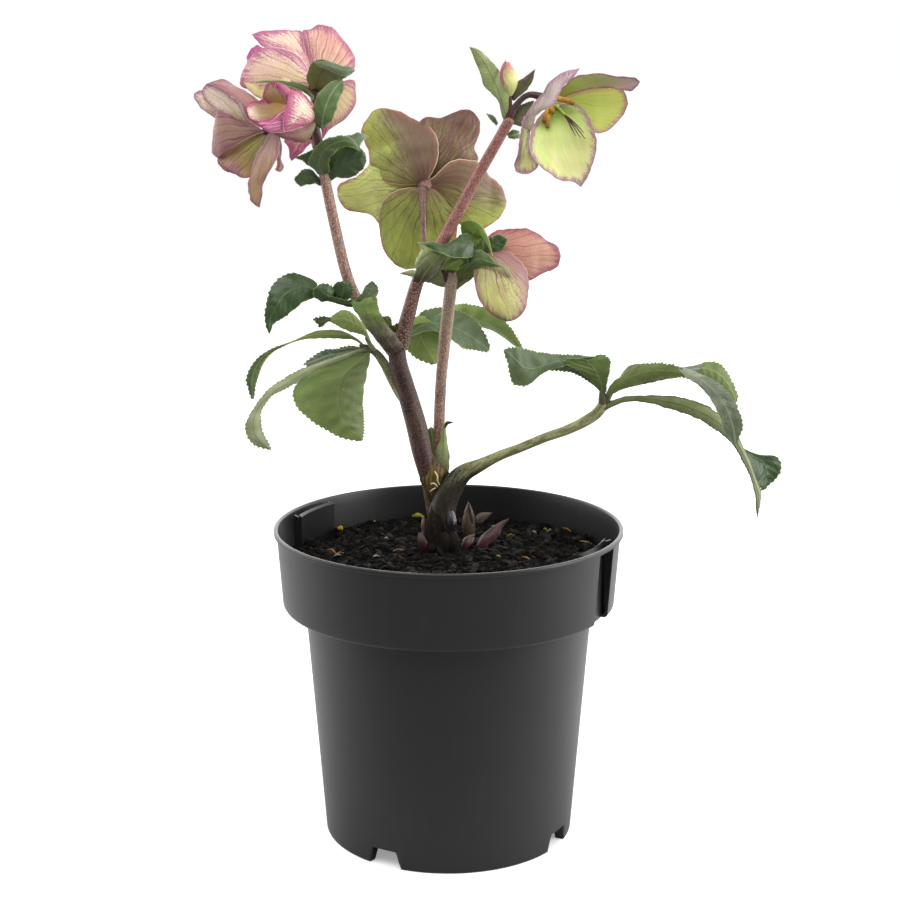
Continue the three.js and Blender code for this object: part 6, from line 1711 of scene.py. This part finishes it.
# %% [markdown]
# ## The pot
#
# The pot is injection-moulded polypropylene. It is a turned form, so its outline is drawn once as a
# list of corners with fillets and swept round the axis. Two features break the turning: four drainage
# notches lift the foot, and two label pockets hang inside the collar, each with a window to the outside.

# %% The pot's outline
RIM_R, HEIGHT, WALL, LIP_DROP, LIP_IN = 95, 172.75, 1.5, 2.5, 2.2
COLLAR_TOP_R, COLLAR_FOOT_R, COLLAR_Z = 93.4, 90.5, 130.3
BODY_TOP_R, BODY_FOOT_R, FLOOR_Z, FOOT_RING_IN = 78.6, 68.5, 11, 62
LIP_Z = HEIGHT - LIP_DROP
SHOULDER_Z = COLLAR_Z + WALL


def body_radius(z):
    return BODY_FOOT_R + (BODY_TOP_R - BODY_FOOT_R) * z / COLLAR_Z


def collar_radius(z):
    return COLLAR_FOOT_R + (COLLAR_TOP_R - COLLAR_FOOT_R) * (z - COLLAR_Z) / (LIP_Z - COLLAR_Z)


def filleted(corners, steps=5):
    """The outline through the corners (radius, height, fillet), each rounded by its fillet."""
    rounded = []
    for k, (r, z, fillet) in enumerate(corners):
        here = np.array([r, z], float)
        if fillet == 0 or k in (0, len(corners) - 1):
            rounded.append(here)
            continue
        before, after = (np.array(corners[k + d][:2], float) - here for d in (-1, 1))
        cut = min(fillet, 0.45 * np.linalg.norm(before), 0.45 * np.linalg.norm(after))
        start, end = here + unit(before) * cut, here + unit(after) * cut
        for s in np.linspace(0, 1, steps):
            rounded.append((1 - s) ** 2 * start + 2 * s * (1 - s) * here + s**2 * end)
    return np.array(rounded)


def dense(line, longest):
    """The same outline with long straight runs cut into even steps."""
    made = [line[0]]
    for a, b in zip(line, line[1:]):
        cuts = max(1, math.ceil(np.linalg.norm(b - a) / longest))
        made += [a + (b - a) * k / cuts for k in range(1, cuts + 1)]
    return np.array(made)


corners = [
    (0, FLOOR_Z, 0), (FOOT_RING_IN, FLOOR_Z, 1.2), (FOOT_RING_IN + 1.5, 0, 0.6), (BODY_FOOT_R, 0, 1.2),
    (body_radius(10), 10, 0), (body_radius(COLLAR_Z), COLLAR_Z, 0.7), (COLLAR_FOOT_R, COLLAR_Z, 2.2),
    (collar_radius(LIP_Z), LIP_Z, 0.6), (RIM_R, LIP_Z, 0.8), (RIM_R, HEIGHT, 1.0),
    (RIM_R - LIP_IN, HEIGHT, 1.0), (collar_radius(SHOULDER_Z) - WALL, SHOULDER_Z, 2.0),
    (body_radius(SHOULDER_Z) - WALL, SHOULDER_Z, 1.0),
    (body_radius(FLOOR_Z) - WALL, FLOOR_Z + WALL, 1.5), (0, FLOOR_Z + WALL, 0),
]
LONGEST_RUN = 6.0
POT_OUTLINE = dense(filleted(corners), LONGEST_RUN)
print("pot outline of", len(POT_OUTLINE), "points")

# %% [markdown]
# The sweep turns the outline round in 1.5 degree steps, with extra columns at both sides of every notch
# so that its edges stay crisp. Angles are measured from the front towards the right. A pocket's panel
# and its two cheeks are then joined on, and its window is cut out of the collar.

# %% Sweep the pot
NOTCHES = dict(first=-30, count=4, foot=20, top=14, high=10)
EDGE = 0.12  # degrees between the two columns of a crisp edge
COLUMN_STEP = 1.5  # degrees


def off(angle, middle):
    return (angle - middle + 180) % 360 - 180


columns = list(np.arange(-180, 180, COLUMN_STEP))
for k in range(NOTCHES["count"]):
    middle = off(NOTCHES["first"] + 360 / NOTCHES["count"] * k, 0)
    for width in (NOTCHES["foot"], NOTCHES["top"]):
        edge = math.degrees(width / 2 / BODY_FOOT_R)
        columns += [middle - edge, middle + edge, middle - edge - EDGE, middle + edge + EDGE]
columns = np.unique(np.round(np.array(columns), 3))
outside = np.arange(len(POT_OUTLINE)) < np.argmax(POT_OUTLINE[:, 1] > HEIGHT - 0.01)
rings = []
for angle in columns:
    ring = POT_OUTLINE.copy()
    r, z = ring[:, 0], ring[:, 1]
    for k in range(NOTCHES["count"]):
        away = abs(off(angle, NOTCHES["first"] + 360 / NOTCHES["count"] * k))
        inner, outer = (math.degrees(NOTCHES[w] / 2 / BODY_FOOT_R) for w in ("top", "foot"))
        lifted = NOTCHES["high"] * np.clip((outer - away) / (outer - inner), 0, 1)
        foot = outside & (r > FOOT_RING_IN - 1)
        z[foot] = np.maximum(z[foot], lifted)
    turn = math.radians(angle)
    rings.append(np.stack([r * math.sin(turn), -r * math.cos(turn), z], axis=1))


print("the sweep has", len(rings), "columns")

# %% From rings to a solid


def solid_of(name, grid, closed):
    """A solid between rings of points. A closed row of rings meets itself, an open one gets two ends."""
    builder = bmesh.new()
    verts = [[builder.verts.new(place(point)) for point in ring] for ring in grid]
    pairs = zip(verts, verts[1:] + verts[:1]) if closed else zip(verts, verts[1:])
    for ring, after in pairs:
        for j in range(len(ring) - 1 if closed else len(ring)):
            builder.faces.new([ring[j], ring[(j + 1) % len(ring)], after[(j + 1) % len(ring)], after[j]])
    if not closed:
        builder.faces.new(verts[0])
        builder.faces.new(verts[-1][::-1])
    bmesh.ops.remove_doubles(builder, verts=builder.verts, dist=1e-6)
    bmesh.ops.recalc_face_normals(builder, faces=builder.faces)
    mesh = bpy.data.meshes.new(name)
    builder.to_mesh(mesh)
    builder.free()
    return put(name, mesh)


pot = solid_of("nursery_pot-moulded", rings, closed=True)
print("pot of", len(pot.data.polygons), "faces")

# %% [markdown]
# A pocket is a curved panel with two cheeks, a little inside the collar. Each is a sector of a ring, and
# an exact boolean joins it to the wall. The window is a sector too, cut away from the collar only.

# %% Join the pockets on and cut their windows
POCKETS = dict(angles=(62, -118), spread=23.5, inner=85.5, outer=87, cheek=1, top=172, slope=1.1)
WINDOW = dict(shift=1.2, spread=11.5, drop=2.5)


def sector(middle, spread, inner, outer, low, high, slope=0.0):
    """A block between two radii, two heights and two angles, whose top falls inwards by `slope`."""
    corners = [(inner, low), (outer, low), (outer, high), (inner, high - slope)]
    turns = np.radians(np.linspace(middle - spread / 2, middle + spread / 2, max(2, int(spread) + 1)))
    return solid_of("sector", [[[r * math.sin(turn), -r * math.cos(turn), z] for r, z in corners]
        for turn in turns], closed=False)


def carve(body, tool, operation):
    modifier = body.modifiers.new("carve", "BOOLEAN")
    modifier.solver = "EXACT"
    modifier.operation = operation
    modifier.object = tool
    made = bpy.data.meshes.new_from_object(body.evaluated_get(bpy.context.evaluated_depsgraph_get()))
    body.modifiers.clear()
    body.data = made
    bpy.data.objects.remove(tool)


for middle in POCKETS["angles"]:
    low, high, inner = SHOULDER_Z - 1, POCKETS["top"], POCKETS["inner"]
    carve(pot, sector(middle, POCKETS["spread"], inner, POCKETS["outer"], low, high, POCKETS["slope"]),
        "UNION")
    for side in (-1, 1):
        cheek = middle + side * (POCKETS["spread"] - POCKETS["cheek"]) / 2
        cheek_block = sector(cheek, POCKETS["cheek"], inner, collar_radius(SHOULDER_Z) - WALL / 2, low,
            high - 0.4, 1.6)
        carve(pot, cheek_block, "UNION")
    window_top = LIP_Z if middle > 0 else LIP_Z - WINDOW["drop"]
    window = sector(middle + WINDOW["shift"], WINDOW["spread"], POCKETS["outer"], RIM_R + 2, COLLAR_Z - 1,
        window_top)
    carve(pot, window, "DIFFERENCE")
print("pot with pockets of", len(pot.data.polygons), "faces")

# %% [markdown]
# Charcoal polypropylene comes from the mould with a fine satin grain. It is soft, so handling leaves
# faint pale scuffs and dust in the grain. Its colour is a dark neutral grey, and the roughness changes
# a little round the wall, which breaks up the long reflections.

# %% Moulded polypropylene


def polypropylene():
    material, tree = new_finish("charcoal moulded polypropylene")
    where = add(tree, "TexCoord").outputs["Object"]
    cloud = add(tree, "TexNoise", {"Vector": where, "Scale": 18.0, "Detail": 4.0})
    grain = add(tree, "TexNoise", {"Vector": where, "Scale": 1400.0, "Detail": 2.0})
    drawn = add(tree, "Mapping", {0: where, 3: (1, 1, 0.12)})
    streak = add(tree, "TexNoise", {"Vector": drawn, "Scale": 160.0, "Detail": 3.0})
    color = tinted(tree, band(tree, cloud, 0.35, 0.65), 0.5, linear("#1b1b1c"), linear("#171718"))
    color = tinted(tree, band(tree, streak, 0.3, 0.42), 0.12, color, linear("#2c2c2d"))
    bump = add(tree, "Bump", {"Height": grain, "Strength": 0.12, "Distance": 0.0002})
    satin = add(tree, "MapRange", {0: cloud, 3: 0.34, 4: 0.44})
    shader = add(tree, "BsdfPrincipled", {"Base Color": color, "Roughness": satin, "Normal": bump,
        "IOR": 1.49, "Specular IOR Level": 0.5})
    add(tree, "OutputMaterial", {"Surface": shader})
    return material


pot.data.materials.clear()
pot.data.materials.append(polypropylene())
pot.data.shade_smooth()
pot.data.set_sharp_from_angle(angle=math.radians(38))
stand_in(pot, "pot", "nursery_pot")

# %% [markdown]
# ## The soil
#
# Potting soil is damp peat with bark: a dark uneven bed of crumbs. The bed is a fine disc pushed up
# and down by fractal noise. Loose crumbs, bark chips and straws lie on it, and Geometry Nodes scatter
# them, because that is what they are for: thousands of copies with a fixed seed.

# %% The soil's surface
SOIL_Z = 155
SOIL_RINGS, SOIL_SPOKES = 100, 300
SOIL_GAP = 0.6  # between the bed and the pot's wall


def soil_height(x, y):
    distance = math.hypot(x, y)
    dome = SOIL_Z + 3 * max(0, 1 - distance / 70)
    rough = noise.fractal(Vector((x, y, 0)) / 8, 0.7, 2.1, 6) * 2.4
    lumps = noise.fractal(Vector((x + 90, y, 4)) / 22, 1.0, 2.0, 2) * 1.6
    return dome + rough + lumps - 1.5


def soil_finish():
    material, tree = new_finish("damp peat and bark")
    where = add(tree, "TexCoord").outputs["Object"]
    crumbs = add(tree, "TexVoronoi", {"Vector": where, "Scale": 420.0})
    cloud = add(tree, "TexNoise", {"Vector": where, "Scale": 260.0, "Detail": 6.0})
    color = tinted(tree, band(tree, cloud, 0.35, 0.62), 1.0, linear("#151311"), linear("#090808"))
    bump = add(tree, "Bump", {"Height": crumbs.outputs["Distance"], "Strength": 0.8, "Distance": 0.0012})
    shader = add(tree, "BsdfPrincipled", {"Base Color": color, "Roughness": 0.95, "Normal": bump,
        "Specular IOR Level": 0.05})
    add(tree, "OutputMaterial", {"Surface": shader})
    return material


def inner_reach(angle):
    """How far the bed may spread at this angle, just inside the wall and the label slots."""
    inside = any(abs(off(angle, middle)) < POCKETS["spread"] / 2 + 0.8 for middle in POCKETS["angles"])
    return (POCKETS["inner"] if inside else collar_radius(SOIL_Z) - WALL) - SOIL_GAP


print("the soil stands", round(soil_height(0, 0) - SOIL_Z, 1), "mm over its level in the middle")

# %% Lay the bed
SOIL = soil_finish()
SOIL_FOOT = [  # radius and height of the corners where the bed steps in with the pot
    (collar_radius(SHOULDER_Z + 3) - WALL - 3, SHOULDER_Z + 0.6),
    (body_radius(SHOULDER_Z) - WALL - SOIL_GAP, SHOULDER_Z + 0.4),
    (body_radius(FLOOR_Z) - WALL - SOIL_GAP, FLOOR_Z + WALL + 0.5),
]
builder = bmesh.new()
bed_rings = []
for spoke in range(SOIL_SPOKES):
    angle = spoke * 360 / SOIL_SPOKES - 180
    turn, reach = math.radians(angle), inner_reach(angle)
    column = []
    for k in range(1, SOIL_RINGS + 1):
        distance = reach * (k / SOIL_RINGS)
        x, y = distance * math.sin(turn), -distance * math.cos(turn)
        column.append(builder.verts.new(place([x, y, soil_height(x, y)])))
    for distance, z in SOIL_FOOT:
        column.append(builder.verts.new(place([distance * math.sin(turn), -distance * math.cos(turn), z])))
    bed_rings.append(column)
top = builder.verts.new(place([0, 0, soil_height(0, 0)]))
base = builder.verts.new(place([0, 0, FLOOR_Z + WALL + 0.5]))
for k, column in enumerate(bed_rings):
    after = bed_rings[(k + 1) % SOIL_SPOKES]
    builder.faces.new([top, column[0], after[0]])
    for j in range(len(column) - 1):
        builder.faces.new([column[j], column[j + 1], after[j + 1], after[j]])
    builder.faces.new([column[-1], base, after[-1]])
bmesh.ops.recalc_face_normals(builder, faces=builder.faces)
soil_mesh = bpy.data.meshes.new("potting_soil-bed")
builder.to_mesh(soil_mesh)
builder.free()
soil_mesh.shade_smooth()
soil_mesh.materials.append(SOIL)
soil = put("potting_soil-bed", soil_mesh)
spots = np.array([vert.co for vert in soil_mesh.vertices]) - np.array(POT_AXIS)
room = [inner_reach(math.degrees(math.atan2(x, -y))) - 1000 * math.hypot(x, y) for x, y, _ in spots]
soil_mesh.attributes.new("room_mm", "FLOAT", "POINT").data.foreach_set("value", room)
stand_in(soil, "soil", "potting_soil")

# %% [markdown]
# The scatter takes the bed, drops points on it where it faces up and keeps clear of the wall, sets a
# crumb on each point with its own turn and size, and turns the copies into real faces at the end. The
# number, sizes, tilt, clearance and seed are inputs, so four kinds of litter share one tree.

# %% One crumb


def crumb_mesh(name, size, seed, finish):
    """One crumb: a small ball pushed out of shape, in millimetres."""
    builder = bmesh.new()
    bmesh.ops.create_icosphere(builder, subdivisions=1, radius=0.5)
    random = np.random.default_rng(seed)
    for vert in builder.verts:
        vert.co *= 0.65 + 0.6 * random.random()
        vert.co = Vector(c * s * MM for c, s in zip(vert.co, size))
    mesh = bpy.data.meshes.new(name)
    builder.to_mesh(mesh)
    builder.free()
    mesh.materials.append(finish)
    return put(name, mesh)


print("a crumb's seed sets its dents, so each run lays the same soil")

# %% The scatter tree


def scatter_tree(crumb, finish):
    tree = bpy.data.node_groups.new("scatter crumbs", "GeometryNodeTree")
    face = tree.interface
    face.new_socket("Geometry", in_out="INPUT", socket_type="NodeSocketGeometry")
    for name in ("Per Square Metre", "Smallest", "Largest", "Tilt", "Room"):
        face.new_socket(name, in_out="INPUT", socket_type="NodeSocketFloat")
    face.new_socket("Seed", in_out="INPUT", socket_type="NodeSocketInt")
    face.new_socket("Geometry", in_out="OUTPUT", socket_type="NodeSocketGeometry")
    given = add(tree, "NodeGroupInput").outputs
    facing = add(tree, "GeometryNodeInputNormal")
    upward = add(tree, "SeparateXYZ", {0: facing}).outputs["Z"]
    on_top = add(tree, "FunctionNodeCompare", {0: upward, 1: 0.3}, data_type="FLOAT",
        operation="GREATER_THAN")
    from_wall = add(tree, "GeometryNodeInputNamedAttribute", {"Name": "room_mm"}, data_type="FLOAT")
    clear = add(tree, "FunctionNodeCompare", {0: from_wall.outputs["Attribute"], 1: given["Room"]},
        data_type="FLOAT", operation="GREATER_THAN")
    allowed = add(tree, "FunctionNodeBooleanMath", {0: on_top, 1: clear}, operation="AND")
    spots = add(tree, "GeometryNodeDistributePointsOnFaces", {"Mesh": given["Geometry"],
        "Selection": allowed, "Density": given["Per Square Metre"], "Seed": given["Seed"]})
    tilt_back = add(tree, "Math", {0: given["Tilt"], 1: -1.0}, operation="MULTIPLY")
    lean = add(tree, "FunctionNodeRandomValue", {"Min": tilt_back, "Max": given["Tilt"],
        "Seed": given["Seed"]}, data_type="FLOAT")
    spin = add(tree, "FunctionNodeRandomValue", {"Min": 0.0, "Max": 2 * math.pi, "Seed": 7},
        data_type="FLOAT")
    turn = add(tree, "CombineXYZ", {"X": lean, "Y": lean, "Z": spin})
    size = add(tree, "FunctionNodeRandomValue", {"Min": given["Smallest"], "Max": given["Largest"],
        "Seed": 3}, data_type="FLOAT")
    one = add(tree, "GeometryNodeObjectInfo", {"Object": crumb}, transform_space="ORIGINAL")
    laid = add(tree, "GeometryNodeInstanceOnPoints", {"Points": spots.outputs["Points"],
        "Instance": one.outputs["Geometry"], "Rotation": turn, "Scale": size})
    real = add(tree, "GeometryNodeRealizeInstances", {"Geometry": laid})
    painted = add(tree, "GeometryNodeSetMaterial", {"Geometry": real, "Material": finish})
    add(tree, "NodeGroupOutput", {"Geometry": painted})
    return tree


print("the scatter tree has six inputs besides the bed")

# %% Scatter over the bed


def scatter(name, bed, crumb, finish, settings):
    carrier = put(name, bed.copy())
    modifier = carrier.modifiers.new("scatter", "NODES")
    modifier.node_group = scatter_tree(crumb, finish)
    sockets = {s.name: s.identifier for s in modifier.node_group.interface.items_tree if s.in_out == "INPUT"}
    for key, value in settings.items():
        modifier[sockets[key]] = value
    made = bpy.data.meshes.new_from_object(carrier.evaluated_get(bpy.context.evaluated_depsgraph_get()))
    made.name = name
    bpy.data.objects.remove(carrier)
    bpy.data.objects.remove(crumb)
    piece = put(name, made)
    stand_in(piece, "soil", "potting_soil")


print("one function scatters every kind of crumb")

# %% [markdown]
# Peat crumbs are almost black, bark chips a little browner, and the fibres are tan. All three are
# broken plant matter, so one finish with two close colours and a rough surface serves them.

# %% Peat, bark and fibre


def bark(name, body, shade, roughness=0.85):
    material, tree = new_finish(name)
    where = add(tree, "TexCoord").outputs["Object"]
    cloud = add(tree, "TexNoise", {"Vector": where, "Scale": 500.0, "Detail": 4.0})
    color = tinted(tree, band(tree, cloud, 0.35, 0.6), 1.0, linear(body), linear(shade))
    bump = add(tree, "Bump", {"Height": cloud, "Strength": 0.5, "Distance": 0.0005})
    shader = add(tree, "BsdfPrincipled", {"Base Color": color, "Roughness": roughness, "Normal": bump,
        "Specular IOR Level": 0.08})
    add(tree, "OutputMaterial", {"Surface": shader})
    return material


PEAT = bark("peat crumb", "#171513", "#0b0a09")
BARK = bark("dark bark chip", "#2a2622", "#12100e", 0.7)
FIBRE = bark("tan fibre", "#6f5f3c", "#4c3f26")
scatter("soil_crumbs", soil_mesh, crumb_mesh("crumb", (1, 0.8, 0.7), 5, PEAT), PEAT,
    {"Per Square Metre": 150000.0, "Smallest": 0.8, "Largest": 3.2, "Tilt": 0.8, "Room": 1.8, "Seed": 11})
scatter("peat_clods", soil_mesh, crumb_mesh("clod", (1, 0.8, 0.75), 8, PEAT), PEAT,
    {"Per Square Metre": 26000.0, "Smallest": 3.2, "Largest": 7.5, "Tilt": 0.8, "Room": 4.2, "Seed": 14})
scatter("bark_chips", soil_mesh, crumb_mesh("chip", (1.5, 0.8, 0.4), 6, BARK), BARK,
    {"Per Square Metre": 16000.0, "Smallest": 2.5, "Largest": 7.0, "Tilt": 0.6, "Room": 5.5, "Seed": 12})
scatter("soil_fibres", soil_mesh, crumb_mesh("fibre", (3.2, 0.3, 0.25), 7, FIBRE), FIBRE,
    {"Per Square Metre": 900.0, "Smallest": 1.0, "Largest": 2.2, "Tilt": 0.35, "Room": 4.0, "Seed": 13})

# %% [markdown]
# A few things lie on the soil that no scatter would place: a fertiliser prill, bits of root and straw,
# pale chips and a yellow bud scale. Each is a short stem at its own spot, as thick as it is long when
# it is a chip.

# %% Litter on the soil
LITTER = {
    "straw": ("#98784a", "#76583a", [
        [(-30.5, 6), (-24.7, 6), 0.6], [(71.5, 51), (75.6, 65), 0.4], [(74, 33), (84, 25), 0.4],
        [(40, -6), (44, -9), 0.5], [(-67, 11), (-62, 8), 0.4], [(-62, 8), (-58, 12), 0.35]]),
    "bud scale": ("#8f8430", "#6f6420", [
        [(-22, 86), (-15, 85), 1.5], [(26, -8), (28, -9), 0.6], [(55, 58.5), (57, 58), 0.6],
        [(33, 45), (37.5, 44), 0.5]]),
    "prill": ("#a8862c", "#80641c", [[(-62.6, 49.4), (-61.4, 49.4), 1.9]]),
    "pale chip": ("#a09a84", "#746c5a", [
        [(-63, 4), (-59.5, 5.5), 0.6], [(-41, -4), (-38, -3), 0.5], [(-51, 86), (-49, 86), 0.4],
        [(-69, 53), (-67.5, 53), 0.4], [(-36, 30), (-34, 31), 0.45], [(57, 51), (59.5, 51.5), 0.5],
        [(48, 52), (50.5, 50), 0.5], [(25, 58.5), (27.5, 57), 0.6]]),
}
LITTER_REACH = 86.5  # nothing lies farther out, where it would cut the wall
LITTER_LIFT = 1.6  # the crumbs under it are this thick
litter, finishes = [], []
for k, (kind, (body, shade, places)) in enumerate(LITTER.items()):
    finishes.append(bark(kind, body, shade, 0.6))
    for *spots, radius in places:
        (x0, y0), (x1, y1) = (np.array(spot) * min(1, LITTER_REACH / math.hypot(*spot)) for spot in spots)
        ends = [[x, y, soil_height(x, y) + LITTER_LIFT + radius * 0.4] for x, y in ((x0, y0), (x1, y1))]
        hump = [(x0 + x1) / 2, (y0 + y1) / 2 + 0.3, max(ends[0][2], ends[1][2]) + 0.3]
        litter.append(stem([ends[0], hump, ends[1]], [radius * 0.5, radius, radius * 0.55], sides=8,
            step=0.8, lumps=0.15, seed=k, finish=k))
grown_piece("soil_litter", litter, finishes, "soil", "potting_soil")

# %% [markdown]
# Last, the number of triangles in all is printed.

# %% Triangle count
print(triangle_total, "triangles in all")
